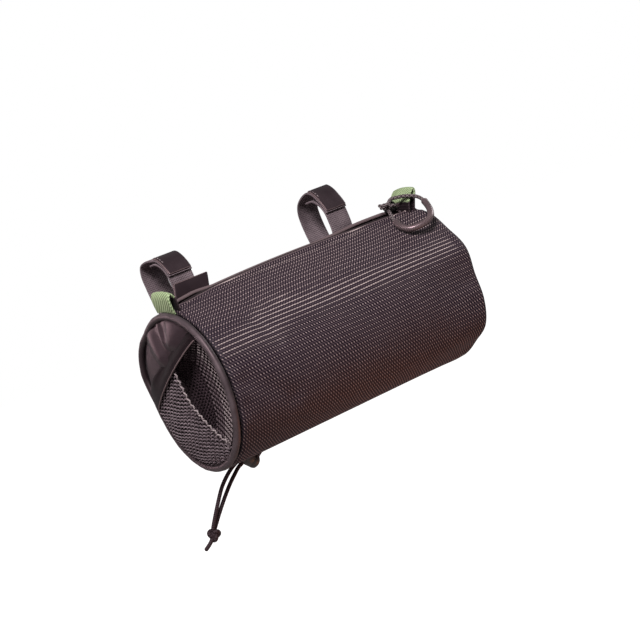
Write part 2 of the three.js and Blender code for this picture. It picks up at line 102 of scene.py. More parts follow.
def between(start, full, ebb, end, t):
    """Rises from 0 to 1 between the first two numbers and falls back to 0 between the last two."""
    return smooth(start, full, t) * (1 - smooth(ebb, end, t))


def spline(a, b, c, d, t):
    """Catmull-Rom: the cubic from b to c whose slope at each is half the step between its neighbours."""
    return b + 0.5 * t * (c - a + t * (2 * a - 5 * b + 4 * c - d + t * (3 * (b - c) + d - a)))


def through(points, count, steps=40):
    """A Catmull-Rom curve through the points in small steps, then spaced evenly along its own length."""
    p = np.asarray(points, float)
    p = np.concatenate([2 * p[:1] - p[1:2], p, 2 * p[-1:] - p[-2:-1]])
    t = np.linspace(0, len(points) - 1, steps * len(points))
    i = np.minimum(t.astype(int), len(points) - 2)
    curve = spline(p[i], p[i + 1], p[i + 2], p[i + 3], (t - i)[:, None])
    run = lengths(curve)
    return np.stack([np.interp(np.linspace(0, run[-1], count), run, axis) for axis in curve.T], axis=1)


def lengths(path):
    """Distance along a path at each of its points."""
    return np.concatenate([[0], np.cumsum(np.linalg.norm(np.diff(path, axis=0), axis=1))])


print("a step smoothed at 0, 1/4, 1/2, 3/4 and 1:", smooth(0, 1, np.linspace(0, 1, 5)))

# %% [markdown]
# A grid carries its points and, for the cloth's pattern, a pair of millimetres at each of them, its UV. A
# sweep makes such a grid from a path and a profile.

# %% Grids and sweeps
CELL = [(0, 0), (1, 0), (1, 1), (0, 1)]


def grid_part(grid, uv, around=False, loop=False, caps=False):
    """One quad for each cell of a grid. "around" joins the last column to the first, "loop" the last row
    to the first, and "caps" closes the first and last rows with one face each."""
    rows, cols = grid.shape[:2]
    i, j = np.indices((rows if loop else rows - 1, cols if around else cols - 1))
    quads = np.stack([(i + a) % rows * cols + (j + b) % cols for a, b in CELL], -1).reshape(-1, 4)
    marks = np.stack([uv[i + a, j + b] for a, b in CELL], -2).reshape(-1, 4, 2)
    faces = [(quads, marks)]
    if caps:
        ring = np.arange(cols)
        faces.append((ring[None], uv[:1, :cols]))
        faces.append((ring[None, ::-1] + (rows - 1) * cols, uv[-1:, :cols][:, ::-1]))
    return grid.reshape(-1, 3), faces


def sweep(path, profile, ref, loop=False, grow=1.0):
    """Carries a closed profile along a path. "ref" squared to the path gives the profile's first axis, and
    the path's direction crossed with that its second; "grow" scales the profile at each point."""
    ahead = np.roll(path, -1, 0) - np.roll(path, 1, 0) if loop else np.gradient(path, axis=0)
    ahead = unit(ahead)
    side = unit(ref - np.sum(ref * ahead, axis=1, keepdims=True) * ahead)
    out = np.cross(ahead, side)
    cut = profile * np.reshape(grow * np.ones(len(path)), (-1, 1, 1))
    grid = path[:, None] + cut[..., :1] * side[:, None] + cut[..., 1:] * out[:, None]
    along = lengths(np.concatenate([path, path[:1]]))
    around = lengths(np.concatenate([profile, profile[:1]]))
    uv = np.stack(np.meshgrid(along, around, indexing="ij"), -1)
    return grid_part(grid, uv, around=True, loop=loop, caps=not loop)


def circle(radius, sides):
    """Points round a circle."""
    turn = np.arange(sides) * 2 * np.pi / sides
    return radius * np.stack([np.cos(turn), np.sin(turn)], -1)


def flat(width, thick, across=9):
    """The section of webbing: two flats joined by half-round edges, wide along the first axis."""
    half = (width - thick) / 2
    line = np.linspace(-half, half, across)
    turn = np.radians(np.linspace(90, -90, 7)[1:-1])
    edge = thick / 2 * np.stack([np.cos(turn), np.sin(turn)], -1) + [half, 0]
    top = np.stack([line, np.full(across, thick / 2)], -1)
    return np.concatenate([top, edge, top[::-1] * [1, -1], -edge])


def cord(path, radius, ref, sides=10):
    """A circle carried along a path, rounded off by the scale sqrt(1 - (1 - t)^2), t radii from either end."""
    run = lengths(path)
    t = np.clip(np.minimum(run, run[-1] - run) / radius, 0, 1)
    return sweep(path, circle(radius, sides), ref, grow=np.sqrt(np.clip(1 - (1 - t) ** 2, 0.02, 1)))


print("webbing's section has", len(flat(20, 1.6)), "points")

# %% [markdown]
# Small solid things need two more shapes: a box with soft edges, and the short rounded bars that stitches and
# knitted loops are drawn with.

# %% Small solids
def pillow(size, power=0.35, rows=14, cols=28):
    """A superellipsoid: the sphere's sines and cosines raised to a power, so the box has soft edges."""
    a, b = np.meshgrid(np.linspace(-89.5, 89.5, rows), np.arange(cols) * 360 / cols, indexing="ij")
    a, b = np.radians(a), np.radians(b)
    turns = np.stack([np.cos(a), np.sin(a), np.cos(b), np.sin(b)])
    level, rise, east, north = np.sign(turns) * np.abs(turns) ** power
    ball = np.stack([level * east, level * north, rise], -1)
    uv = np.stack(np.meshgrid(np.arange(rows), np.arange(cols + 1), indexing="ij"), -1)
    return grid_part(ball * np.array(size) / 2, uv * 1.0, around=True, caps=True)


def move(part, matrix=np.eye(3), to=(0, 0, 0)):
    """A part turned by a matrix whose rows are its new axes, then shifted."""
    return part[0] @ np.asarray(matrix) + np.asarray(to), part[1]


def capsules(centres, ahead, out, length, radius):
    """Many bars at once: each is a hexagon, narrowed at both ends, laid along its own "ahead"."""
    t = np.array([-1, -0.85, -0.4, 0.4, 0.85, 1])
    bar = np.array([0.25, 0.75, 1, 1, 0.75, 0.25])
    ahead = unit(ahead)
    side = unit(np.cross(out, ahead))
    out = np.cross(ahead, side)
    ring = circle(radius, 6)
    spots = (centres[:, None, None] + (t * length / 2)[:, None, None] * ahead[:, None, None]
             + (bar[:, None] * ring[:, 0])[..., None] * side[:, None, None]
             + (bar[:, None] * ring[:, 1])[..., None] * out[:, None, None])
    uv = np.stack(np.meshgrid(t * length / 2, np.arange(7) * radius, indexing="ij"), -1)
    return [grid_part(spot, uv, around=True, caps=True) for spot in spots]


print("a soft box has", len(pillow((10, 8, 3))[0]), "points")

# %% [markdown]
# One function puts parts into Blender. It also rides a piece on the part's body, gives it its material and hides
# the nodes of the part it stands for.

# %% Pieces
SHARP_EDGE = 50


def volume(part):
    """Six times the signed volume: positive if the faces point out of a closed part."""
    points = part[0] - part[0].mean(axis=0)
    total = 0
    for quads, _ in part[1]:
        a = points[quads[:, :1]]
        b, c = points[quads[:, 1:-1]], points[quads[:, 2:]]
        total += np.sum(a * np.cross(b, c))
    return total


def put(name, parts, finish, nodes=(), closed=True, flip=False, thick=0):
    """Joins parts into one mesh, in metres, and rides it on the part's body. A closed part is turned to face
    outwards; an open sheet is given its thickness inwards."""
    points, loops, sizes, marks, start = [], [], [], [], 0
    for part in parts:
        back = volume(part) < 0 if closed else flip
        for faces, uv in part[1]:
            loops.append((faces[:, ::-1] if back else faces).ravel() + start)
            marks.append((uv[:, ::-1] if back else uv).reshape(-1, 2))
            sizes.append(np.full(len(faces), faces.shape[1]))
        points.append(part[0])
        start += len(part[0])
    points, loops, sizes, marks = map(np.concatenate, (points, loops, sizes, marks))
    mesh = bpy.data.meshes.new(name)
    mesh.vertices.add(len(points))
    mesh.vertices.foreach_set("co", (points * MM).ravel())
    mesh.loops.add(len(loops))
    mesh.loops.foreach_set("vertex_index", loops)
    mesh.polygons.add(len(sizes))
    mesh.polygons.foreach_set("loop_start", np.cumsum(sizes) - sizes)
    mesh.polygons.foreach_set("use_smooth", np.ones(len(sizes), bool))
    mesh.update(calc_edges=True)
    mesh.uv_layers.new(name="uv").data.foreach_set("uv", marks.ravel())
    mesh.set_sharp_from_angle(angle=np.radians(SHARP_EDGE))
    mesh.materials.append(finish)
    piece = bpy.data.objects.new(name, mesh)
    bpy.context.scene.collection.objects.link(piece)
    if thick:
        wall = piece.modifiers.new("thickness", "SOLIDIFY")
        wall.thickness = thick * MM
        wall.offset = -1
    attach(piece, "root")
    if nodes:
        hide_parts(*nodes)
    print(f"{name}: {len(points)} points, {len(sizes)} faces")
    return piece


def tag(piece, name, values):
    """Stores one number per point, for the material to read."""
    piece.data.attributes.new(name, "FLOAT", "POINT").data.foreach_set("value", np.ravel(values))


print("a soft box faces outwards before it is put:", bool(volume(pillow((10, 8, 3))) > 0))

# %% [markdown]
# ## Materials
# A material here is a small graph. One function adds any kind of node: what comes from another node is
# linked, and what is a plain number is set on the socket. Patterns are measured in millimetres, from the UV
# that each piece carries, so a thread is as wide on the bag as it is on the loom.

# %% Material helpers
COLOUR_MIX = dict(out=2, data_type="RGBA")
GLOSS_TINT = "#ffdde5"


def srgb(text):
    """A hex colour as the linear values that light adds up in."""
    c = np.array([int(text[i:i + 2], 16) for i in (1, 3, 5)]) / 255
    return (*np.where(c <= 0.04045, c / 12.92, ((c + 0.055) / 1.055) ** 2.4), 1.0)


def wire(tree, node, inputs):
    """Links or sets a node's inputs by name or number."""
    for key, value in (inputs.items() if isinstance(inputs, dict) else enumerate(inputs)):
        if isinstance(value, bpy.types.NodeSocket):
            tree.links.new(value, node.inputs[key])
        else:
            node.inputs[key].default_value = value


def add(tree, kind, inputs=(), out=0, **settings):
    """Adds one node and returns one of its outputs. A second word in "kind" is the node's operation."""
    kind, *operation = kind.split()
    node = tree.nodes.new("ShaderNode" + kind)
    for key, value in [*settings.items(), *(("operation", word) for word in operation)]:
        setattr(node, key, value)
    wire(tree, node, inputs)
    return node.outputs[out]


def material(name):
    """A new material with its graph and its shader."""
    made = bpy.data.materials.new(name)
    made.use_nodes = True
    return made, made.node_tree, made.node_tree.nodes["Principled BSDF"]


def waves(tree, source, across, power=1.0):
    """A row of ridges: 0.5 + 0.5 cos of the position along the vector "across", whose length is one over
    the period."""
    steps = tuple(2 * np.pi * c for c in across)
    turn = add(tree, "VectorMath DOT_PRODUCT", [source, steps], out=1)
    wave = add(tree, "Math COSINE", [turn])
    ridge = add(tree, "Math MULTIPLY_ADD", [wave, 0.5, 0.5])
    return add(tree, "Math POWER", [ridge, power])


def blotches(tree, source, scale, stretch=(1, 1, 1), detail=2.0):
    """Soft blotches "scale" units across, drawn longer along an axis whose stretch is small."""
    spot = add(tree, "VectorMath MULTIPLY", [source, tuple(c / scale for c in stretch)])
    return add(tree, "TexNoise", {"Vector": spot, "Scale": 1.0, "Detail": detail})


def speckled(name, dark, light, scale, detail=2.0):
    """A surface whose colour wanders between two tones in blotches; it gives the blotches back for other uses."""
    made, tree, shader = material(name)
    spots = blotches(tree, add(tree, "TexCoord", out="Object"), scale, detail=detail)
    colour = add(tree, "Mix", {0: spots, 6: srgb(dark), 7: srgb(light)}, **COLOUR_MIX)
    wire(tree, shader, {"Base Color": colour})
    return made, tree, shader, spots


def cloth(name, dark, light, ridges, roughness, gloss=0.25, bump=0.25, depth=0.3, blotch=14, power=1.0):
    """Cloth whose threads lie in one or two sets of ridges: the colour runs from dark between threads to light
    on them, soft blotches vary it, and the same ridges raise the surface by "depth" mm."""
    made, tree, shader = material(name)
    uv = add(tree, "TexCoord", out="UV")
    height = waves(tree, uv, ridges[0], power)
    for across in ridges[1:]:
        height = add(tree, "Math MAXIMUM", [height, waves(tree, uv, across, power)])
    spots = blotches(tree, add(tree, "TexCoord", out="Object"), blotch * MM, detail=4.0)
    share = add(tree, "Math MULTIPLY", [height, spots])
    rough = add(tree, "Math MULTIPLY_ADD", [spots, 0.2, roughness - 0.1])
    normal = add(tree, "Bump", {"Strength": bump, "Distance": depth * MM, "Height": height})
    colour = add(tree, "Mix", {0: share, 6: srgb(dark), 7: srgb(light)}, **COLOUR_MIX)
    wire(tree, shader, {"Base Color": colour, "Roughness": rough, "Specular IOR Level": gloss,
                        "Specular Tint": srgb(GLOSS_TINT), "Sheen Weight": 0.03, "Sheen Roughness": 0.4,
                        "Normal": normal})
    return made


print("linear value of a middle grey:", round(float(srgb("#808080")[0]), 3))

# %% [markdown]
# The plain cloths come first. Satin is fine nylon, whose weave is drawn at about 1 mm, coarser than life, so
# that a small picture can still show it. Piping is nylon folded over a cord, with a painted highlight along its
# crown and painted shade towards its seams, so its one ridge is as long as the way round it. Webbing is woven in
# ribs across its length. The tabs are a sage twill, which is why their ridges run at a slant. Coated tape, hook
# tape and satin are the smoothest, and take a soft highlight. Yarn and thread are rough and lighter than the
# cloth. The nets' yarns carry painted light: a painted highlight on the crests of the outer net's yarns and on its
# rim, light loops nearest the piping, and painted shade on the deeper loops and on the lining net inside the
# pocket. The light rolled edges are a painted highlight too.

# %% Plain cloths
PIPING_RADIUS = 2.6
PIPING_SIDES = 16
PIPING_GIRTH = 2 * PIPING_SIDES * PIPING_RADIUS * np.sin(np.pi / PIPING_SIDES)
NET_PERIOD = 5.2

satin = cloth("nylon_satin", "#1b1216", "#3a2e33", [(0.9, 0.25, 0), (-0.25, 0.9, 0)], 0.4, gloss=0.4, bump=0.1)
# The piping's one ridge round its section is painted light: a painted highlight along the crown and painted shade
# towards the seams.
piping_cloth = cloth("nylon_piping", "#0f090c", "#5b4f53", [(0, 1 / PIPING_GIRTH, 0)], 0.5, gloss=0.4, bump=0.05,
                     power=3)
webbing = cloth("ribbed_webbing", "#2a2025", "#8f7f84", [(0.7, 0, 0), (0, 0.75, 0)], 0.7, bump=0.6, depth=0.5)
tab_cloth = cloth("sage_twill", "#627150", "#cfdfb0", [(0.42, 0.36, 0)], 0.75, bump=0.7, depth=0.5)
zip_cloth = cloth("coated_zip_tape", "#150f11", "#30262a", [(0.45, 0, 0)], 0.33, gloss=0.4, bump=0.2, depth=0.2)
hook_tape = cloth("hook_tape", "#191115", "#30262a", [(0.7, 0.7, 0), (0.7, -0.7, 0)], 0.34, gloss=0.7, bump=0.06)
thread = cloth("sewing_thread", "#6b5d60", "#c4b3b2", [(1.2, 0.8, 0)], 0.6, bump=0.4, depth=0.1)
# The outer net's yarn is lightest on the crests of its waves, a painted highlight.
yarn = cloth("mesh_yarn_crest_highlight", "#1a1317", "#94848a", [(1 / NET_PERIOD, 0, 0)], 0.6, bump=0.1, depth=0.1, blotch=9)
# The inner net and its loops are painted with light and shade: its own yarn is dark for the shade inside the pocket,
# the loops nearest the piping are light, and the deeper loops darker.
lining_yarn_painted_shade = cloth("lining_yarn_painted_shade", "#1d1418", "#4b3d43", [(0.9, 1.3, 0)], 0.7, gloss=0.1, bump=0.3, depth=0.1)
shaded_loop_yarn = cloth("lining_loops_painted_shade", "#2b2125", "#75666a", [(0.7, 0.9, 0)], 0.6, bump=0.3, depth=0.1)
loop_yarn = cloth("lining_loops_painted_light", "#453a3e", "#b0a1a0", [(0.7, 0.9, 0)], 0.6, bump=0.3, depth=0.1)
# The rim's yarn is much lighter than the net's, a painted highlight along the rim.
rim_yarn = cloth("mesh_rim_yarn_painted_highlight", "#665a5e", "#d0c1bf", [(0.7, 0.9, 0)], 0.6, bump=0.3, depth=0.1)
band_cloth = cloth("binding_band", "#0f090b", "#1a1215", [(0.6, 0, 0), (0, 0.8, 0)], 0.65, gloss=0.06, bump=0.15)
# The light rolled edges are a painted highlight on the sides that face the light.
edge_highlight_cloth = cloth("binding_edge_painted_highlight", "#4a3b3d", "#7d6a6a", [(0.8, 0.3, 0)], 0.5, bump=0.2)
braid = cloth("braided_cord", "#1d1519", "#a29393", [(0.3, 0.33, 0), (0.3, -0.33, 0)], 0.6, bump=0.8,
              depth=0.4, power=3)
elastic = cloth("elastic_cord", "#140c10", "#3f3236", [(0.75, 0, 0)], 0.6, bump=0.5, depth=0.3)
print("plain cloths, from", satin.name, "to", elastic.name)

# %% [markdown]
# ## The pull cord
# A loop of thin braided cord passes through the slider's eye and is knotted there. Most of the loop runs in a
# smooth satin sleeve, which makes it stand out as a ring that a gloved finger can find. The braid's route is
# one smooth curve from the knot, through the sleeve and back to the knot.

# %% Pull cord
PULL_KNOT = np.array([93, -54.6, -6.2])
PULL_UPPER = [[96.2, -54, -4.4], [100.6, -53.6, -2.4], [105, -56.2, -2.9], [108.4, -60.6, -3.9],
              [111.8, -66, -6], [114.4, -68.8, -8.6], [113.8, -73.4, -11.5]]
PULL_SLEEVE = [[113.2, -75.2, -12.8], [110.4, -80.8, -16.8], [107.2, -85.6, -20.4], [102.4, -89.8, -24.4],
               [95.4, -90.8, -27], [88.2, -88.2, -27.8], [83.4, -84.4, -27], [81.3, -78.4, -23.1],
               [83, -72.8, -19.6]]
PULL_LOWER = [[83.9, -70.8, -18.4], [86, -66.6, -15.9], [88.8, -62, -12.5], [91, -58.2, -9.6]]
PULL_TAILS = [[[90.4, -53.4, -4.8], [87.8, -52, -3.6]],
              [[90, -54.4, -6.4], [86.8, -54.8, -6]],
              [[97.4, -56.4, -7.2], [100.8, -55.6, -7.7], [101.5, -51.8, -7.5], [101.5, -44, -6.8]]]
PULL_KNOT_AXES = np.array([[0.9, 0.1, -0.3], [0.2, -0.8, 0.5], [0.2, 0.5, 0.8]])
PULL_RADIUS, PULL_KNOT_RADIUS, PULL_KNOT_SCALE = 1.4, 1.25, 0.95
LOOP_FACE = np.array([0.1, -0.55, 0.83])


def trefoil(scale, count=90):
    """The simplest knot: (sin t + 2 sin 2t, cos t - 2 cos 2t, -sin 3t)."""
    t = np.linspace(0, 2 * np.pi, count, endpoint=False)
    return scale * np.stack([np.sin(t) + 2 * np.sin(2 * t), np.cos(t) - 2 * np.cos(2 * t), -np.sin(3 * t)], -1)


pull_path = through(PULL_UPPER + PULL_SLEEVE + PULL_LOWER, 220)
pull = put("zip_pull_cord", [cord(pull_path, PULL_RADIUS, LOOP_FACE, 12)], braid,
           ["zip_pull_cord_upper", "zip_pull_cord_lower"])
knot_path = trefoil(PULL_KNOT_SCALE) @ PULL_KNOT_AXES + PULL_KNOT
tails = [through([PULL_KNOT, *route], 30) for route in PULL_TAILS]
pull_knot = put("zip_pull_knot_braid",
                [sweep(knot_path, circle(PULL_KNOT_RADIUS, 10), (0.3, 0.5, 0.8), loop=True)]
                + [cord(path, PULL_KNOT_RADIUS, (0.2, 0.3, 0.9)) for path in tails],
                braid, ["zip_pull_knot"])

# %% [markdown]
# ## The elastic cord
# Under the bag an elastic cord leaves a cord lock, and its two strands end together in one knot. It is
# there to tie the bag down, so that it cannot swing. Here it hangs free.

# %% Elastic cord
CORD_RADIUS = 1.5
STRANDS = {
    "left": [[-77.5, -16.2, -137], [-80.9, -17.6, -137], [-84.6, -19, -138], [-91.5, -17.6, -141.4],
             [-97.6, -15.4, -146.4], [-102.4, -13, -152], [-107.4, -10.6, -159.8], [-112.6, -8.4, -168.4],
             [-116.4, -6.6, -175.2], [-118.2, -5.8, -179]],
    "right": [[-78.4, -15, -140.4], [-81.4, -15, -142], [-84.8, -15, -143.4], [-89.4, -14.6, -146.8],
              [-95, -12, -152.6], [-101.6, -9.2, -160.4], [-108.4, -6.6, -169], [-113.2, -5, -175.4],
              [-116.4, -4.4, -179.4]]}
KNOT, KNOT_TAIL = np.array([-117.8, -5, -181.6]), np.array([-128.4, -4, -189.4])
KNOT_AXES = np.array([[0.78, -0.513, -0.359], [0.345, -0.126, 0.93], [-0.522, -0.849, 0.078]])
KNOT_SCALE, KNOT_RADIUS, KNOT_CORE = 1.25, 1.75, (6.5, 6.5, 5)
ALONG_CORD = np.array([0.3, 0.9, 0.2])

strand_paths = {side: through(route, 90) for side, route in STRANDS.items()}
strands = {side: put(f"cord_{side}_braid", [cord(path, CORD_RADIUS, ALONG_CORD, 12)], elastic,
                     [f"cord_strand_{side}"])
           for side, path in strand_paths.items()}
tie = trefoil(KNOT_SCALE) @ KNOT_AXES + KNOT
tail = through([KNOT, 0.5 * (KNOT + KNOT_TAIL) + [0.3, 0, -0.5], KNOT_TAIL], 40)
cord_knot = put("cord_knot_braid", [sweep(tie, circle(KNOT_RADIUS, 10), KNOT_AXES[2], loop=True),
                                    move(pillow(KNOT_CORE, 1.0), KNOT_AXES, KNOT),
                                    cord(tail, CORD_RADIUS, ALONG_CORD)],
                elastic, ["cord_knot"])

# %% [markdown]
# The sleeve is a woven tube of smooth satin, and its shine marks it out from the braid. A rolled lip closes each
# of its two ends. With it in place the length of each cord is printed.

# %% Sleeve, and the cords' facts
sleeve_cloth = cloth("sleeve_satin", "#372c2f", "#705f60", [(0.9, 0.3, 0)], 0.32, gloss=0.8, bump=0.03)
sleeve_path = through(PULL_SLEEVE, 120)
run = lengths(sleeve_path)
SLEEVE_RADIUS, LIP_RISE, LIP_LENGTH = 2.5, 0.08, 1.2
lip = 1 + LIP_RISE * np.exp(-(np.minimum(run, run[-1] - run) / LIP_LENGTH) ** 2)
sleeve = put("zip_pull_sleeve_tube", [sweep(sleeve_path, circle(SLEEVE_RADIUS, 16), LOOP_FACE, grow=lip)],
             sleeve_cloth, ["zip_pull_sleeve"])

print("cord lengths, mm:", [round(lengths(p)[-1], 1) for p in (pull_path, *strand_paths.values())])

# %% [markdown]
# ## The barrel
# The main panel is one piece of cloth wrapped round from one side of the zip to the other. It is nearly a
# cylinder: a low ridge lifts it under the zip, and towards each end it follows the slightly uneven ring that
# the piping was sewn to. Angles are measured from the front, with the top at 90 degrees.

# %% Barrel functions
AXIS = np.array([0, -42, -76])
BAG_RADIUS = 60
BODY_HALF = 110.75
PIPING_X = 113.65
ZIP_TOP, ZIP_TURN, ZIP_HALF = 91, 7, 106.25
RIDGE, RIDGE_LENGTH, RIDGE_SPREAD = 4.4, 242.5, 35
END_REACH = 55
END_SHAPE = {"left": [0, 0, 0, -0.5, -1.3, -2.4, -3, 0.5, 1.3, -4.5, -4.5, -2.5, -1.1, -0.2, 0, 0.2, 0.2, 0],
             "right": [-3, 1.5, -0.5, 1.9, 1.6, 0.8, 0.4, 0.2, 0, 0, 0.3, 0.6, 0.8, 0.8, 0.3, -1.3, 1.9, 0.1]}


def end_offset(side, angle):
    """How far one end's ring lies outside a true circle: a closed spline through the table."""
    table = np.array(END_SHAPE[side])
    turn = np.mod(angle, 360) * len(table) / 360
    i = np.floor(turn).astype(int)
    return spline(*(table[(i + k) % len(table)] for k in (-1, 0, 1, 2)), turn - i)


def zip_angle(x):
    """Where the zip lies: straight along the top, turning forward towards both ends by the fourth power."""
    return ZIP_TOP - ZIP_TURN * (x / ZIP_HALF) ** 4


def barrel_radius(x, angle):
    """The cylinder, plus the ridge under the zip, plus the end's own shape over the last stretch."""
    off_zip = np.mod(angle - zip_angle(x) + 180, 360) - 180
    ridge = RIDGE * np.cos(np.pi * x / RIDGE_LENGTH) * bell(off_zip / RIDGE_SPREAD)
    ends = np.where(x < 0, end_offset("left", angle), end_offset("right", angle))
    return BAG_RADIUS + ridge + smooth(BODY_HALF - END_REACH, BODY_HALF, np.abs(x)) * ends


def around(x, r, angle):
    """A point at a distance from the bag's axis, at an angle from the front."""
    a = np.radians(angle)
    return np.stack(np.broadcast_arrays(x, -r * np.cos(a), r * np.sin(a)), -1) + AXIS


def from_line(u, v, a, b):
    """Distance of points (u, v) from the stretch of line between a and b."""
    a, b = np.asarray(a, float), np.asarray(b, float)
    p = np.stack(np.broadcast_arrays(u, v), -1) - a
    t = np.clip(p @ (b - a) / np.sum((b - a) ** 2), 0, 1)
    return np.linalg.norm(p - t[..., None] * (b - a), axis=-1)


print("radius at the middle of the zip, mm:", float(barrel_radius(0.0, ZIP_TOP)))

# %% [markdown]
# ## The main cloth
# The panel's cloth is a dark nylon with light threads in rows 3.3 mm apart and a light dot every 2.2 mm. Five
# sets of waves make it: the rows, half rows and columns, and the slanting lines through the dots both ways. One
# slant is strong on the lower half and the other near the top, where the cloth is drawn flatter and askew. A band
# of painted highlight lies where light rakes along the barrel: there the dots run together into bright lines. The
# painted light is stored on the mesh as one number per point, with a little more of it over the top. It goes past
# 1 on the hems, where the painted highlight is strongest and the folded edge is a plain lighter tone, and below 0
# at the end seams, where it paints the shade in the seam dark.

# %% Main cloth material
DOT_STEP, ROW_STEP = 2.22, 3.28
WEAVE = dict(slant=0.52, column=0.4, row=-0.12, other=0.02, half_row=0.22)
SLANT_TURNS, DIM_FROM = (15.0, 42.0), -110.0
DOT_FROM, GAP_FROM, GAP_FULL, LINE_POWER = 0.68, 0.5, 0.1, 16.0


def panel_cloth():
    """A weighted sum of five waves: high on a dot and low in the gap between dots. Its high part lightens the
    thread colour, its low part darkens it, and a row's wave to a high power draws the bright lines of the painted
    highlight."""
    made, tree, shader = material("nylon_with_light_threads")
    uv = add(tree, "TexCoord", out="UV")
    painted_light = add(tree, "Attribute", out="Fac", attribute_name="painted_light")
    side = add(tree, "MapRange", [add(tree, "SeparateXYZ", [uv], out=1), *SLANT_TURNS, 0.0, 1.0])
    falling = waves(tree, uv, (1 / DOT_STEP, 1 / ROW_STEP, 0))
    rising = waves(tree, uv, (1 / DOT_STEP, -1 / ROW_STEP, 0))
    sets = dict(slant=add(tree, "Mix", {0: side, 2: falling, 3: rising}),
                other=add(tree, "Mix", {0: side, 2: rising, 3: falling}),
                row=waves(tree, uv, (0, 1 / ROW_STEP, 0)), half_row=waves(tree, uv, (0, 2 / ROW_STEP, 0)),
                column=waves(tree, uv, (1 / DOT_STEP, 0, 0)))
    weave = 0.0
    for name, share in WEAVE.items():
        weave = add(tree, "Math MULTIPLY_ADD", [sets[name], share, weave])
    spots = blotches(tree, uv, 5.0, stretch=(0.5, 1, 1), detail=3.0)
    uneven = add(tree, "Math MULTIPLY_ADD", [spots, 1.0, 0.5])
    near = add(tree, "MapRange", [add(tree, "SeparateXYZ", [uv]), DIM_FROM, 0.0, 0.8, 1.0])
    uneven = add(tree, "Math MULTIPLY", [uneven, near])
    dot = add(tree, "MapRange", [weave, DOT_FROM, 1.0, 0.0, 1.0])
    thin = add(tree, "Math POWER", [sets["slant"], 3.0])
    dot = add(tree, "Math MULTIPLY_ADD", [thin, 0.08, dot])
    light = add(tree, "Math MULTIPLY", [dot, uneven], use_clamp=True)
    # The bright lines are a painted highlight, drawn only where the painted light on the mesh is high.
    line = add(tree, "Math POWER", [sets["row"], LINE_POWER])
    bead = add(tree, "Math MULTIPLY_ADD", [sets["column"], 0.2, 0.95])
    for factor in (bead, painted_light):
        line = add(tree, "Math MULTIPLY", [line, factor])
    line = add(tree, "Math MULTIPLY", [line, uneven], use_clamp=True)
    # Painted light also fills in the dark gaps between dots.
    gap = add(tree, "MapRange", [weave, GAP_FROM, GAP_FULL, 0.0, 1.0])
    dull = add(tree, "Math MULTIPLY_ADD", [painted_light, -0.3, 1.0])
    gap = add(tree, "Math MULTIPLY", [gap, dull], use_clamp=True)
    # On the hems the painted highlight turns into a plain lighter tone on the folded edge.
    fold = add(tree, "MapRange", [painted_light, 1.2, 1.7, 0.0, 1.0])
    # Below 0 the painted light turns to painted shade: the end seams are drawn dark.
    seam = add(tree, "MapRange", [painted_light, 0.0, -1.0, 0.0, 1.0])
    colour = srgb("#261b25")
    for share, over in ((gap, "#0d070f"), (light, "#988484"), (line, "#c6b3af"), (fold, "#5c4d4f"), (seam, "#0b060a")):
        colour = add(tree, "Mix", {0: share, 6: colour, 7: srgb(over)}, **COLOUR_MIX)
    height = add(tree, "Math SUBTRACT", [light, gap])
    normal = add(tree, "Bump", {"Strength": 0.1, "Distance": 0.4 * MM, "Height": height})
    wire(tree, shader, {"Base Color": colour, "Roughness": 0.6, "Specular IOR Level": 0.1, "Normal": normal})
    return made


ripstop = panel_cloth()
print("main cloth:", ripstop.name)

# %% [markdown]
# The panel is cut a little short of the zip and its two edges are folded under, so each edge is a soft round
# hem with a sewn groove behind it. Near the ends the seam gathers the cloth. Packing has left
# a few dents on the front, which catch the light.

# %% Main panel
FINE = np.array([0, 0.35, 0.7, 1.1, 1.6, 2.2, 2.9, 3.6, 4.2, 4.8, 5.6, 6.4, 7.2, 7.8, 8.3, 8.8, 9.4, 10.2, 11.2,
                 12.5])
FINE_TO = 13.5
CREASES = [((-77, 45), (-64, 12), 1.2, 4.0), ((-95, -4), (-66, -28), 2.2, 8.0), ((-70, 60), (-60, 40), 0.8, 6.0),
           ((40, -30), (75, -38), 0.5, 10.0), ((-20, -35), (15, -42), 0.5, 12.0)]
PANEL_THICK, OVERLAP = 1.4, 5.2
HEM_HIGH, HEM_AT, HEM_TURN, HEM_PLAIN = 0.9, 1.5, 0.9, 2.6
SEAM_DEEP, SEAM_AT, GATHER = 0.7, 8.4, 0.35
ASKEW_FROM = 38
BAND_X = [-110, -80, -62, -45, -28, 25, 110]
BAND_AT = [24, 25, 28, 34, 30, 28, 27.5]
BAND_HALF = [7, 8, 15, 11, 8, 8.5, 8]


def zip_line(x):
    """Where the zip's two halves meet: a little in front of the ridge."""
    return zip_angle(x) - 3.6


def zip_gap(x):
    """Half the opening between the two hems: 4.8 mm along the zip, closing at both ends."""
    return 0.6 + 4.2 * between(-105, -94, 102, 109, x)


def hem_rise(x):
    """How far the rear hem stands up: where the zip is pulled at its right end, and a little at its left."""
    return 3.2 * between(25, 80, 94, 109, x) + 2.5 * between(-106, -94, -84, -60, x)


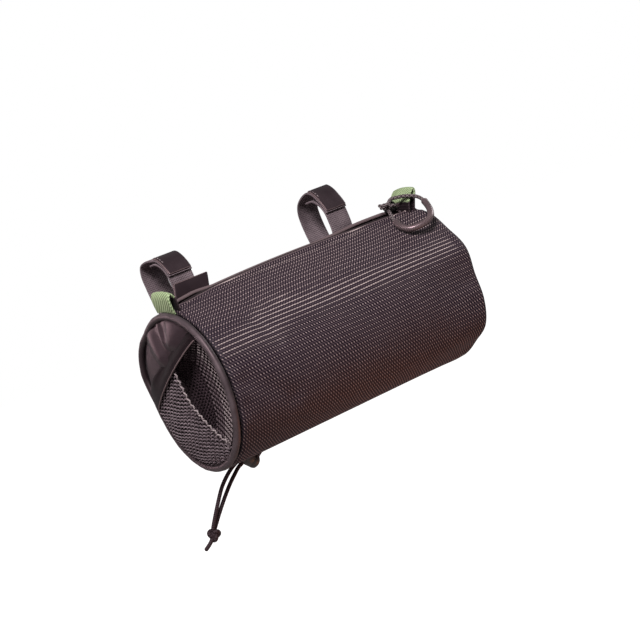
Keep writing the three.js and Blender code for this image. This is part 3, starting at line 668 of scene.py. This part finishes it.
def main_panel():
    """x along the barrel by distance round it from hem to hem, fine beside the hems. The radius is the barrel's plus
    hem, sewn groove, lifted rear hem, gathers, tucks and dents. At the left the cloth is tucked in behind the piping,
    and at the right it swells over it."""
    swell = BODY_HALF + OVERLAP * np.array([0.4, 0.7, 0.9, 1])
    x = np.concatenate([np.linspace(-BODY_HALF, BODY_HALF, 150), swell])[:, None]
    gap = zip_gap(x)
    total = 2 * np.pi * BAG_RADIUS - 2 * gap
    middle = np.linspace(0, 1, 166)[1:-1]
    off = np.concatenate([FINE + 0 * x, FINE_TO + (total - 2 * FINE_TO) * middle, total - FINE[::-1]], axis=1)
    angle = zip_line(x) + np.degrees((gap + off) / BAG_RADIUS)
    up = BAG_RADIUS * np.radians(angle - 360)
    edge = np.minimum(off, total - off)
    hem = HEM_HIGH * np.exp(-((edge - HEM_AT) / 1.3) ** 2) - 1.6 * np.clip(1 - edge / HEM_TURN, 0, 1) ** 2
    sewn = SEAM_AT - 1.5 * (x / 100) ** 2
    groove = -SEAM_DEEP * np.exp(-((edge - sewn) / 0.8) ** 2) + 0.35 * np.exp(-((edge - sewn - 3) / 2) ** 2)
    rise = hem_rise(x) * bell(off / 18)
    near_end = smooth(92, 109, np.abs(x)) * (1 - smooth(110, 113, x))
    gather = GATHER * near_end * np.sin(up / 3.1 + 1.3 * np.sin(up / 13))
    tuck = -1.3 * smooth(107.5, BODY_HALF, -x) - 0.5 * smooth(BODY_HALF + 3, BODY_HALF + OVERLAP, x)
    dents = sum(-depth * np.exp(-(from_line(x, up, a, b) / half) ** 2) for a, b, depth, half in CREASES)
    r = barrel_radius(x, angle) + hem + groove + rise + gather + tuck + dents
    high = np.maximum(up - ASKEW_FROM, 0)
    drift = 0.5 * np.sin(x / 9.3 + 1.7 * np.sin(up / 14)) + 0.4 * np.sin(up / 6.1 + x / 17)
    across, along = x - 0.26 * high + drift, up - 0.17 * high + 0.5 * np.sin(x / 23 + up / 11)
    uv = np.stack(np.broadcast_arrays(across, along), -1)
    panel = put("main_panel", [grid_part(around(x, r, angle), uv)], ripstop, ["body_panel"],
                closed=False, thick=PANEL_THICK)
    # Painted light: a band of painted highlight where light rakes along the barrel, a little more over the top, more on
    # the hems, and painted shade at the end seams.
    away = np.abs(up - np.interp(x, BAND_X, BAND_AT)) / np.interp(x, BAND_X, BAND_HALF)
    painted_light = 0.6 * (1 - smooth(0.35, 1.5, away)) + 0.1 * smooth(30, 50, up)
    painted_light = np.where(edge < HEM_PLAIN, 2 - edge / 5, painted_light * smooth(HEM_PLAIN, 8, edge))
    # Painted shade along the end seams.
    seam = np.where(x < 0, smooth(108.8, 110.4, -x), smooth(BODY_HALF + 4, BODY_HALF + OVERLAP, x))
    tag(panel, "painted_light", painted_light * (1 - smooth(106, 109, np.abs(x))) - 0.8 * seam)
    return panel


panel = main_panel()

# %% [markdown]
# ## The zip
# The zip is a coated coil zip set in upside down, so only its smooth tape shows: a dark strip with a fine
# line down its middle where the two halves meet. The slider is a small painted casting with a bridge over it
# for the pull cord.

# %% Zip tape
TAPE_HALF = np.array([0.2, 0.45, 0.8, 1.4, 2, 2.8, 3.5, 4.2, 4.8, 5.5, 6.5, 8])
TAPE_SINK, TAPE_CROWN, TAPE_GROOVE, TAPE_THICK = 2.4, 2.6, 0.7, 0.9


def zip_tape():
    """x along the zip by distance across it: a low crown between the hems, with a narrow groove at its middle."""
    x = np.linspace(-107, 108.5, 140)[:, None]
    off = np.concatenate([-TAPE_HALF[::-1], [0], TAPE_HALF])
    angle = zip_line(x) + np.degrees(off / BAG_RADIUS)
    crown = TAPE_CROWN * bell(off / 6.4) - TAPE_GROOVE * np.exp(-(off / 0.35) ** 2)
    lift = -TAPE_SINK + crown * between(-103, -95, 102, 107, x)
    r = barrel_radius(x, angle) + lift + 0.5 * hem_rise(x) * smooth(-3, 6, off)
    return grid_part(around(x, r, angle), np.stack(np.broadcast_arrays(x, off), -1))


put("zip_strip", [zip_tape()], zip_cloth, ["zip_tape"], closed=False, thick=TAPE_THICK)

# %% [markdown]
# The slider's casting is painted, so it is half a metal to the eye: dark, with scuffs that shine a little.

# %% Zip slider
SLIDER_X, SLIDER_LIFT, SLIDER_SIZE = 101.5, 1.8, (10, 8, 3)
ARCH = [[-3.6, 0, 2], [-3.4, 0, 5.4], [-2, 0, 7.4], [0, 0, 7.6], [2, 0, 7.4], [3.4, 0, 5.4], [3.6, 0, 2]]
X_AXIS, Y_AXIS = np.eye(3)[:2]


def stand_on(x, angle, lift):
    """Axes and foot of a thing that stands on the barrel: along the bag, across it, and straight out."""
    a = np.radians(angle)
    out = np.array([0, -np.cos(a), np.sin(a)])
    axes = np.stack([X_AXIS, np.cross(out, X_AXIS), out])
    return axes, around(x, barrel_radius(x, angle) + lift, angle)


metal, tree, shader, scuff = speckled("painted_zip_metal", "#141213", "#3a3536", 1.5 * MM, 5.0)
wire(tree, shader, {"Metallic": 0.5, "Roughness": add(tree, "Math MULTIPLY_ADD", [scuff, 0.4, 0.2])})
axes, foot = stand_on(SLIDER_X, zip_angle(SLIDER_X), SLIDER_LIFT)
put("zip_slider_cast", [move(pillow(SLIDER_SIZE, 0.4), axes, foot + SLIDER_SIZE[2] / 2 * axes[2]),
                        move(sweep(through(ARCH, 40), flat(4.4, 1.3), Y_AXIS), axes, foot)],
    metal, ["zip_slider"])

# %% [markdown]
# ## The piping
# Each end seam is covered by piping: a cord in a folded strip of nylon, about 5 mm thick, sewn round the ring.
# The strip puckers slightly as it turns, and its two ends overlap once on the way round, at the bottom.

# %% Piping
PIPING_POINTS, PIPING_INSET = 260, {"left": 2.6, "right": 4.2}
CROWN_AT = {"left": 10, "right": 14}


def piping(side):
    """A circle carried round the end's ring; its size swells a little in slow waves and at the overlap. The circle
    starts at the crown, furthest from the seam, so that the cloth's painted highlight lies on the crown and its painted
    shade towards the seam."""
    angle = np.arange(PIPING_POINTS) * 360 / PIPING_POINTS
    x = -PIPING_X if side == "left" else PIPING_X
    ring = around(x, BAG_RADIUS - PIPING_INSET[side] + end_offset(side, angle), angle)
    pucker = 1 + 0.02 * np.sin(np.radians(angle * 23)) + 0.015 * np.sin(np.radians(angle * 41 + 30))
    overlap = 1 + 0.1 * between(276, 278, 290, 292, angle)
    section = np.roll(circle(PIPING_RADIUS, PIPING_SIDES), -CROWN_AT[side], axis=0)
    return put(f"piping_{side}_cord", [sweep(ring, section, X_AXIS, loop=True, grow=pucker * overlap)],
               piping_cloth, [f"piping_{side}"])


pipings = [piping(side) for side in ("left", "right")]

# %% [markdown]
# ## The near end
# The left end is a disc of satin inside the piping. A bound tape crosses it. Above the tape the satin is full
# and folded; below it the satin lies back, and two layers of net make an open pocket over it. Places on the
# end are given as (y, z) from the bag's axis, and a height says how far out the cloth stands.

# %% Near end functions
TAPE_FRONT, TAPE_BACK = np.array([-41, 34.6]), np.array([50, -9.2])
TAPE_RUN = unit(TAPE_BACK - TAPE_FRONT)
TAPE_UP = np.array([-TAPE_RUN[1], TAPE_RUN[0]])
PLEATS = [((24, 53), (9, 25), 4.6, 14, 12), ((6.5, 55), (1, 38), 2.6, 4.5, 6), ((-14, 55), (-8, 34), 3.6, 10, 22)]
DRAWN_IN, FULL, DISHED = 2.0, 5, 6
DOME_RADIUS, RIM_INSET, RIM_GAP = 55, 2.6, 0.45
COVER_OUT, COVER_TUCK, COVER_THICK = 1.2, 1.2, 1.1


def reach(side, y, z):
    """Where the end's cloth stops in the direction of (y, z), just inside the piping."""
    return BAG_RADIUS - RIM_INSET + end_offset(side, np.degrees(np.arctan2(z, -y))) - PIPING_RADIUS - RIM_GAP


def dome(y, z):
    """A low dome: the square root of what is left of the radius, 1 at the middle and 0 at the rim."""
    return np.sqrt(np.maximum(0, 1 - (y ** 2 + z ** 2) / DOME_RADIUS ** 2))


def above_tape(y, z):
    """Distance above the tape's lower edge, across the tape."""
    return (y - TAPE_FRONT[0]) * TAPE_UP[0] + (z - TAPE_FRONT[1]) * TAPE_UP[1]


def pleat(y, z, a, b, height, back, front):
    """A fold along the line from a to b: a hump with one slope towards the back and another to the front, which dies
    away past both ends."""
    a, b = np.asarray(a, float), np.asarray(b, float)
    run = unit(b - a)
    off = (y - a[0]) * -run[1] + (z - a[1]) * run[0]
    t = ((y - a[0]) * run[0] + (z - a[1]) * run[1]) / np.linalg.norm(b - a)
    hump = np.where(off > 0, bell(off / back), bell(off / front))
    return height * hump * between(-0.3, 0.1, 0.85, 1.35, t)


def cover_height(y, z):
    """Full above the tape, with its folds, and dished below it; towards the tape the cloth is drawn in."""
    upper = smooth(-7, 6, above_tape(y, z))
    folds = sum(pleat(y, z, *fold) for fold in PLEATS) - DRAWN_IN * (1 - smooth(4, 18, above_tape(y, z)))
    return dome(y, z) * (FULL * upper - DISHED * (1 - upper)) + np.sqrt(dome(y, z)) * upper * folds


def disc(count):
    """A square grid pressed into a disc, so that a round cloth needs no pole: (u sqrt(1 - v^2 / 2), and so on)."""
    u, v = np.meshgrid(np.linspace(-1, 1, count), np.linspace(-1, 1, count), indexing="ij")
    return u * np.sqrt(1 - v ** 2 / 2), v * np.sqrt(1 - u ** 2 / 2)


def end_cloth(side, height, count=110):
    """The disc stretched to the rim and pushed out by a height."""
    y, z = disc(count)
    far = reach(side, y, z) + COVER_TUCK
    y, z = y * far, z * far
    x = BODY_HALF + COVER_OUT + height(y, z)
    grid = np.stack([-x if side == "left" else x, y, z], -1) + AXIS
    return grid_part(grid, np.stack([y, z], -1))


def plain_crown(y, z):
    """The far end: a shallow crown with slack ripples, and puckers where the seam gathers it round the rim."""
    rise, turn = dome(y, z), np.arctan2(z, y)
    slack = rise * np.sin(y / 9 + z / 17 + 1.5 * np.sin(z / 19))
    pucker = rise * (1 - smooth(0.25, 0.8, rise)) * np.sin(19 * turn + 2 * np.sin(3 * turn))
    return 3 * rise ** 2 + 0.9 * slack + 1.3 * pucker


cover = put("end_cover_left", [end_cloth("left", cover_height, 150)], satin, ["end_panel_left"],
            closed=False, flip=True, thick=COVER_THICK)
far_end = put("end_cover_right", [end_cloth("right", plain_crown, 120)], satin, ["end_panel_right"],
              closed=False, thick=COVER_THICK)

# %% [markdown]
# Two nets make the pocket. The outer one is warp-knitted: wavy yarns lie side by side, each a little out of step
# with the last, with open gaps between them. Each yarn is a cosine wave that rises and dips as it goes, and stops
# where the net's outline says so. Its colour is lightest on the wave's crests, a painted highlight.

# %% Pocket net functions
def on_end(out, y, z):
    """Points that stand "out" beyond the barrel's left edge, at (y, z) from the bag's axis."""
    return np.stack([-(BODY_HALF + out), y, z], -1) + AXIS


def in_pocket(path, edge, side):
    """Within the piping, no more than 3 mm up behind the tape, and behind a free edge (side 1) or before it (-1)."""
    y, z = path[..., 1] - AXIS[1], path[..., 2] - AXIS[2]
    return ((np.hypot(y, z) < reach("left", y, z) + 0.5) & (above_tape(y, z) < 3)
            & (side * (y - np.interp(z, edge[:, 1], edge[:, 0])) > 0))


def net(u, v, wave, period, step, radius, place, edge, side, sides=5):
    """Yarn k runs along u at v_k + wave cos(2 pi (u / period + k step)), drawn a little uneven; "place" sets
    (u, v, lift) in space, and a yarn shrinks to a point where it leaves the net."""
    turn = 2 * np.pi * (u[None] / period + step * np.arange(len(v))[:, None])
    slack = 0.6 * np.sin(u[None] / 7.3 + v[:, None] / 4.1) * np.sin(u[None] / 17 - v[:, None] / 9.7)
    path = place(u[None] + 0 * turn, v[:, None] + wave * np.cos(turn + slack) + slack, 0.35 * np.sin(turn))
    keep = in_pocket(path, edge, side)
    ahead = unit(np.gradient(path, axis=1))
    across = unit(np.cross(ahead, X_AXIS))
    out = np.cross(ahead, across)
    ring = circle(radius, sides)
    size = np.where(keep, 1.0, 0.03)[..., None, None]
    spots = path[:, :, None] + size * (ring[:, :1] * across[:, :, None] + ring[:, 1:] * out[:, :, None])
    k, n, j = np.indices((len(v), len(u) - 1, sides))
    quads = np.stack([(k * len(u) + n + a) * sides + (j + b) % sides for a, b in CELL], -1)
    marks = np.stack([np.stack([u[n + a] + k * step * period, (j + b) * radius], -1) for a, b in CELL], -2)
    shown = keep[:, :-1] | keep[:, 1:]
    used, quads = np.unique(quads[shown].reshape(-1, 4), return_inverse=True)
    return spots.reshape(-1, 3)[used], [(quads.reshape(-1, 4), marks[shown].reshape(-1, 4, 2))]


print("the dome's height at the middle of the end:", float(dome(0.0, 0.0)))

# %% [markdown]
# The outer net stands out from the end, and its free rim is edged with a chain of bars that lean to and fro. The chain
# is drawn much lighter than the net, a painted highlight along the rim.

# %% Outer net
OUTER_RUN = unit(np.array([1, 0.136]))
OUTER_OUT, OUTER_FULL = 2.6, 7
RIM_OUT, RIM_LEAN, RIM_LINKS = 3.4, 0.9, 26
RIM_PATH = np.array([[-33.4, -37.9], [-21.4, -21.8], [-12, -6.4], [-8, 8], [-6.5, 15.5]])


def outer_place(u, v, lift):
    """Rows along OUTER_RUN in the plane of the end, on the full height of the pocket."""
    y = u * OUTER_RUN[0] - v * OUTER_RUN[1]
    z = u * OUTER_RUN[1] + v * OUTER_RUN[0]
    return on_end(OUTER_OUT + lift + OUTER_FULL * dome(y, z), y, z)


def rim_chain(line):
    """The free rim's edging: a bar at each point, leaning to and fro like the links of a chain."""
    path = on_end(RIM_OUT + OUTER_FULL * dome(*line.T), *line.T)
    ahead = unit(np.gradient(path, axis=0))
    across = np.cross(ahead, X_AXIS)
    lean = np.where(np.arange(len(path)) % 2, RIM_LEAN, -RIM_LEAN)[:, None]
    step = lengths(line)[-1] / (len(line) - 1)
    return capsules(path + 0.4 * lean * across, ahead + lean * across, -X_AXIS, step * 1.4, 0.55)


pocket = put("pocket_net", [net(np.arange(-58, 58, 0.5), np.arange(-58, 44, 2.75), 0.85, NET_PERIOD, 0.36, 0.55,
                                outer_place, through(RIM_PATH, 60), 1)],
             yarn, ["pocket_mesh"], closed=False)

# %% [markdown]
# The inner net is coarser and shows its loops: short slanting bars in columns that follow the rim. Its colours carry
# painted light and shade: the columns nearest the piping are drawn light, the deeper columns darker, and the net's own
# yarn darker still, which paints the shade inside the pocket.

# %% Inner net
INNER_EDGE = np.array([[-8, -45], [6, -30], [18, -12], [23, 5]])
INNER_OUT, RIM_ARC = 3.6, 52
LOOP_STEP, COLUMN_STEP, COLUMNS = 4.2, 3.6, 4
inner_edge = through(INNER_EDGE, 60)


def inner_place(u, v, lift):
    """Columns along the rim: u along the arc of the piping, which moves inwards by v, on the dished satin."""
    y, z = v - RIM_ARC * np.cos(u / RIM_ARC), RIM_ARC * np.sin(u / RIM_ARC)
    return on_end(INNER_OUT + lift + cover_height(y, z), y, z)


def inner_loops(start):
    """Slanting bars on a lattice along the rim and inwards, every other column half a step on."""
    u, v = np.meshgrid(np.arange(-56, 48, LOOP_STEP), start + COLUMN_STEP * np.arange(COLUMNS), indexing="ij")
    u = u + LOOP_STEP / 2 * (np.arange(COLUMNS) % 2)
    ends = [inner_place(u + a, v + b, 0.6) for a, b in ((-1.1, -0.8), (1.1, 0.8))]
    middle = 0.5 * (ends[0] + ends[1])
    keep = in_pocket(middle, inner_edge, -1)
    return capsules(middle[keep], (ends[1] - ends[0])[keep], -X_AXIS, 3.0, 0.55)


lining = put("pocket_lining_net", [net(np.arange(-60, 52, 0.7), np.arange(0.5, 62, 2.7), 1.0, LOOP_STEP, 0.5, 0.5,
                                       inner_place, inner_edge, -1)],
             lining_yarn_painted_shade, ["pocket_inner_mesh"], closed=False)
# The loops nearest the piping are drawn light and the deeper ones darker: painted light and painted shade.
loops = put("pocket_lining_loops", inner_loops(2), loop_yarn)
deep_loops = put("pocket_lining_loops_deep", inner_loops(2 + COLUMNS * COLUMN_STEP), shaded_loop_yarn)
rim = put("pocket_net_rim", rim_chain(through(RIM_PATH, RIM_LINKS)), rim_yarn)

# %% [markdown]
# A smooth band binds the net's upper edge. It is narrow at the front, where the satin above runs into it, and wider at
# the back, where its upper edge stands clear. A rolled edge closes it below, drawn light as a painted highlight.

# %% Pocket binding
BAND_REACH, BAND_NARROW, BAND_WIDENS, BAND_LENGTH = 54.6, 10, 7.5, 105
BAND_OUT, BAND_FULL, EDGE_RADIUS = 3.3, 9, 0.55


def tape_place(t, w, lift=0.0):
    """t from rim to rim along the band, w across it from its lower edge; each end is cut to the curve of the rim, and
    the upper edge sinks under the satin towards the front."""
    foot = TAPE_FRONT + w[..., None] * TAPE_UP
    along = foot @ TAPE_RUN
    off = np.linalg.norm(foot - along[..., None] * TAPE_RUN, axis=-1)
    half = np.sqrt(BAND_REACH ** 2 - off ** 2)
    spot = foot + (half * (2 * t - 1) - along)[..., None] * TAPE_RUN
    y, z = spot[..., 0], spot[..., 1]
    sink = -4.5 * smooth(3, 12, w) * (1 - smooth(0.45, 0.8, t)) - 1.5 * smooth(13, 17.5, w)
    return on_end(BAND_OUT + sink + BAND_FULL * dome(y, z) ** 1.3 + lift, y, z)


t, w = np.meshgrid(np.linspace(0, 1, 90), np.linspace(0, 1, 36), indexing="ij")
w = w * (BAND_NARROW + BAND_WIDENS * t)
binding = put("pocket_tape", [grid_part(tape_place(t, w), np.stack([t * BAND_LENGTH, w], -1))], band_cloth,
              ["pocket_binding"], closed=False, flip=True, thick=COVER_THICK)
roll = tape_place(np.linspace(0.01, 0.99, 120), np.zeros(120), -0.3)
# The rolled edge is drawn light, a painted highlight.
binding_edge_painted_highlight = put("pocket_tape_edge", [cord(roll, EDGE_RADIUS, (1.0, 0.1, 0.1), 8)], edge_highlight_cloth)

# %% [markdown]
# ## The tabs
# A short loop of sage webbing is caught in the seam at each end of the zip, to hold the bag by while the zip is
# pulled. Both have dark pieces that paint the shade on them: the left one on its leg towards the zip, and the right
# one, which leans out over its seam, at its foot and on its outer leg.

# %% Tabs
TABS = {"left": dict(x=-109.5, angle=80, lean=-2, lift=-2.6, foot=0, green=slice(0, 38), dark=[slice(36, 60)],
                     wider=-0.6),
        "right": dict(x=109.4, angle=84, lean=8, lift=0, foot=-4, green=slice(13, 43),
                      dark=[slice(0, 15), slice(41, 60)], wider=0.4)}
TAB_SHAPE = np.array([[-2.2, 0], [-2.6, 6], [-2.2, 11], [0, 14], [2.2, 11], [2.6, 6], [2.2, 0]])
TAB_WIDTH, TAB_THICK, TAB_RISE = 25, 1.4, 2.2


def tab(side, x, angle, lean, lift, foot, green, dark, wider):
    """A flat section carried round a narrow hairpin; its foot follows the barrel, so it sags with the square of the
    distance from its middle."""
    across, height = TAB_SHAPE.T
    tilted = across + lean * height / height.max()
    path = through(np.stack([tilted, 0 * height, np.where(height > 0, height, foot)], -1), 60)
    drop = BAG_RADIUS - np.sqrt(BAG_RADIUS ** 2 - (TAB_WIDTH / 2) ** 2)

    def leg(stretch, width):
        """One stretch of the loop, set on the barrel."""
        points, faces = sweep(path[stretch], flat(width, TAB_THICK, 21), Y_AXIS)
        sag = drop * (points[:, 1] / (TAB_WIDTH / 2)) ** 2
        return move((points + [0, 0, TAB_RISE] - np.outer(sag, [0, 0, 1]), faces), *stand_on(x, angle, lift))

    # The dark pieces of coated tape are painted shade on the tab.
    put(f"tab_{side}_back", [leg(stretch, TAB_WIDTH + wider) for stretch in dark], zip_cloth)
    put(f"tab_{side}_loop", [leg(green, TAB_WIDTH)], tab_cloth, [f"tab_{side}"])


for side, facts in TABS.items():
    tab(side, **facts)

# %% [markdown]
# ## The straps
# Two straps of ribbed webbing are sewn to the back of the bag's top. Each makes a loop, up behind and
# forward over the top, and closes on itself with a patch of hook tape. Their paths are drawn in a plane across
# the bag.

# %% Straps and patches
STRAP_FRONT = [[4, 16.8], [-4.5, 16.5], [-11.6, 12.4], [-16.2, 5.6], [-17.4, -2.5], [-17.2, -11]]
STRAPS = {
    "left": dict(x=-74, shift=(-2.5, -1.5), patch=0.875, over=[
        [3, -28], [11, -25.4], [17.4, -18.5], [21, -8.5], [22.8, 3.5], [23, 12], [19.2, 18.6], [11, 20.6],
        [1.5, 20.2], [-6.6, 18.8], [-12.2, 14.8], [-16.4, 9.6], [-18.8, 5]]),
    "right": dict(x=74, shift=(0.8, 0.8), patch=0.86, over=[
        [2, -29.6], [10, -27.6], [16, -19.6], [19, -8.5], [20.2, 2.5], [19.6, 11], [15.8, 17.6], [8.6, 21.8],
        [0, 24], [-5.6, 22.8], [-10.6, 18.8], [-14.2, 13.8], [-17.2, 8.6], [-18.8, 4.4]])}
STRAP_WIDTH, STRAP_THICK, STRAP_POINTS = 20, 1.6, 260
SEWN_AT, SEWN_LIFT = np.array([117.0, 122, 127]), 2.1
PATCH_WIDTH, PATCH_THICK, STITCH_IN = 19, 1.0, 7.8


def strap_path(x, shift, over):
    """Down the front of the loop, along the barrel where it is sewn, and round over the top, at one x."""
    sewn = around(x, barrel_radius(x, SEWN_AT) + SEWN_LIFT, SEWN_AT)
    route = through(np.concatenate([STRAP_FRONT, sewn[:, 1:] - shift, over]) + shift, STRAP_POINTS)
    return np.concatenate([np.full((STRAP_POINTS, 1), float(x)), route], axis=1)


def outwards(path, lift):
    """The path moved sideways, away from the middle of the loop."""
    return path + lift * np.cross(unit(np.gradient(path, axis=0)), X_AXIS)


def strap(side, x, shift, patch, over):
    """A strap, the patch on its last part, a few stitches beside the patch's edge and a rolled rim on two sides, drawn
    light as a painted highlight.
    """
    path = strap_path(x, shift, over)
    put(f"strap_{side}_webbing", [sweep(path, flat(STRAP_WIDTH, STRAP_THICK, 15), X_AXIS)], webbing,
        [f"strap_{side}"])
    upper = path[int(patch * (STRAP_POINTS - 1)):STRAP_POINTS - 2]
    facing = outwards(upper, STRAP_THICK)
    put(f"strap_patch_{side}_tape", [sweep(facing, flat(PATCH_WIDTH, PATCH_THICK, 15), X_AXIS)], hook_tape,
        [f"strap_patch_{side}"])
    line = outwards(upper, 2.15)[2:18:4]
    ahead = np.gradient(line, axis=0)
    sewn = capsules(line - STITCH_IN * X_AXIS, ahead, np.cross(unit(ahead), X_AXIS), 1.9, 0.25)
    put(f"strap_patch_{side}_stitches", sewn, thread)
    low = facing[-1] + np.linspace(-9.3, 9.3, 40)[:, None] * X_AXIS
    rims = [cord(rim, 0.5, (0.2, 0.9, 0.4), 8) for rim in (facing - PATCH_WIDTH / 2 * X_AXIS, low)]
    put(f"strap_patch_{side}_edge", rims, edge_highlight_cloth)


for side, facts in STRAPS.items():
    strap(side, **facts)

# %% [markdown]
# The left strap's free end shows below its loop as a short flap of hook tape, a little wider than the strap.

# %% Flap
FLAP_PATH = [[-70, -24.3, -3], [-70, -24.5, -7], [-70, -24.4, -12], [-70, -24.1, -16]]
FLAP_WIDTH, FLAP_EDGE, FLAP_SLOPE = 29.5, 14.6, 0.25


def slope(part):
    """The flap hangs askew: its lower edge lies further left than its upper one."""
    return part[0] + np.outer(FLAP_SLOPE * (part[0][:, 2] - FLAP_PATH[0][2]), X_AXIS), part[1]


flap_path = through(FLAP_PATH, 40)
put("strap_flap", [slope(sweep(flap_path, flat(FLAP_WIDTH, STRAP_THICK, 25), X_AXIS))], hook_tape,
    ["strap_end_left"])
# The flap's light top and left edges are a painted highlight.
top = flap_path[0] + np.linspace(-FLAP_EDGE, FLAP_EDGE, 40)[:, None] * X_AXIS
edges = [slope(cord(rim, EDGE_RADIUS, (0.2, 0.9, 0.3), 8)) for rim in (flap_path - FLAP_EDGE * X_AXIS, top)]
put("strap_flap_edge", edges, edge_highlight_cloth)

# %% [markdown]
# ## The cord lock and its anchor
# The lock is a small barrel moulded in plastic with a fine grain, which dulls its shine. It grips the elastic, and
# hangs from a leaf of webbing sewn under the bag. The leaf's foot lies along the barrel, and its end stands out to
# the lock.

# %% Cord lock and anchor
LOCK_AT, LOCK_AXIS = np.array([-74, -14.5, -141]), unit(np.array([0.7, 0, -0.71]))
LOCK_SHAPE = np.array([[0.3, -8], [3.4, -8], [4.6, -7.6], [5.2, -6.6], [5.2, -4], [5.0, -3.6], [5.2, -3.2], [5.2, 2],
                       [5.0, 2.4], [5.2, 2.8], [5.2, 5], [4.7, 6.6], [3.4, 7.6], [2.6, 8], [0.3, 8]])
FLUTES, FLUTE_DEPTH = 12, 0.25
LEAF = [[-42, 0, 0.7], [-50, 0, 0.7], [-57, 0, 1.5], [-62.5, 0, 4.3], [-68.8, 0, 9.2]]
LEAF_WIDTH = 12


def lathe_lock(turns=48):
    """A profile of radius against height, turned about the lock's axis; a cosine cuts grip flutes in its waist."""
    radius, height = LOCK_SHAPE[:, :1], LOCK_SHAPE[:, 1:]
    turn = np.radians(np.arange(turns) * 360 / turns)
    r = radius - FLUTE_DEPTH * between(-3, -2, 1, 2, height) * (0.5 + 0.5 * np.cos(FLUTES * turn))
    grid = np.stack([r * np.cos(turn), r * np.sin(turn), height + 0 * turn], -1)
    uv = np.stack(np.meshgrid(height[:, 0], np.arange(turns + 1) * 0.7, indexing="ij"), -1)
    side = unit(np.cross(LOCK_AXIS, Y_AXIS))
    return move(grid_part(grid, uv, around=True, caps=True), [side, np.cross(LOCK_AXIS, side), LOCK_AXIS], LOCK_AT)


plastic, tree, shader, grain = speckled("moulded_plastic", "#1f1c1d", "#423c3d", 0.5 * MM, 3.0)
normal = add(tree, "Bump", {"Strength": 0.2, "Distance": 0.1 * MM, "Height": grain})
wire(tree, shader, {"Roughness": 0.45, "Normal": normal})
put("cord_lock_moulding", [lathe_lock()], plastic, ["cord_lock"])
axes, _ = stand_on(0, np.degrees(np.arctan2(LOCK_AT[2] - AXIS[2], AXIS[1] - LOCK_AT[1])), 0)
leaf = sweep(through(LEAF, 50), flat(LEAF_WIDTH, STRAP_THICK), Y_AXIS)
put("cord_anchor_leaf", [move(leaf, axes, AXIS + BAG_RADIUS * axes[2])], webbing, ["cord_anchor"])

# %% [markdown]
# ## What each cloth was cut to
# A sewn cloth has a flat size, which is what the cutter laid out. The main panel is a rectangle: the barrel's length by
# its girth, less the zip. Each end is a disc, each net is a part of a disc, and the band is a strip that widens.

# %% [markdown]
# ## Floor and light
# The bag hangs over a pale plain floor in soft white light. Five lamps make it: a broad one above and in front, a
# weaker one on each side, one behind on the left that picks out the satin's folds, and a little warm light from
# below. Round them is a room that is dim to the bag and bright to the camera.

# %% Floor, lamps and room
def lamp(name, place, size, power, colour="#ffffff"):
    """A square area lamp that looks from its place at the middle of the bag, in millimetres."""
    made = bpy.data.objects.new(name, bpy.data.lights.new(name, "AREA"))
    made.data.size = size * MM
    made.data.energy = power
    made.data.color = srgb(colour)[:3]
    made.visible_camera = False
    place = np.array(place, float)
    made.matrix_world = aim(place, unit(AXIS - place), np.array([0.1, 0.2, 1.0]))
    bpy.context.scene.collection.objects.link(made)


lamp("key", (-650, -1050, 950), 420, 36)
lamp("left_fill", (-1300, -150, 700), 500, 4)
lamp("back_left", (-750, 1150, 330), 450, 4.0, "#ffdde4")
lamp("right_fill", (1300, -150, 450), 600, 7)
lamp("warm_floor", (50, -120, -325), 200, 0.26, "#ff9650")

FLOOR_HALF, FLOOR_Z = 6, -0.34
corners = [(FLOOR_HALF * a, FLOOR_HALF * b, FLOOR_Z) for a, b in ((-1, -1), (1, -1), (1, 1), (-1, 1))]
floor_mesh = bpy.data.meshes.new("floor")
floor_mesh.from_pydata(corners, [], [(0, 1, 2, 3)])
floor = bpy.data.objects.new("floor", floor_mesh)
bpy.context.scene.collection.objects.link(floor)
paper, tree, shader, _ = speckled("pale_floor", "#8f8c8a", "#9a9795", 0.4)
seen = add(tree, "LightPath", out="Is Camera Ray")
wire(tree, shader, {"Roughness": 0.9, "Emission Color": srgb("#ffffff"), "Emission Strength": seen})
floor_mesh.materials.append(paper)

room = bpy.data.worlds.new("studio")
bpy.context.scene.world = room
room.use_nodes = True
tree = room.node_tree
seen = add(tree, "LightPath", out="Is Camera Ray")
strength = add(tree, "MapRange", [seen, 0.0, 1.0, 0.15, 1.0])
wire(tree, tree.nodes["Background"], {"Color": srgb("#ffffff"), "Strength": strength})
bpy.context.scene.view_settings.view_transform = "Standard"
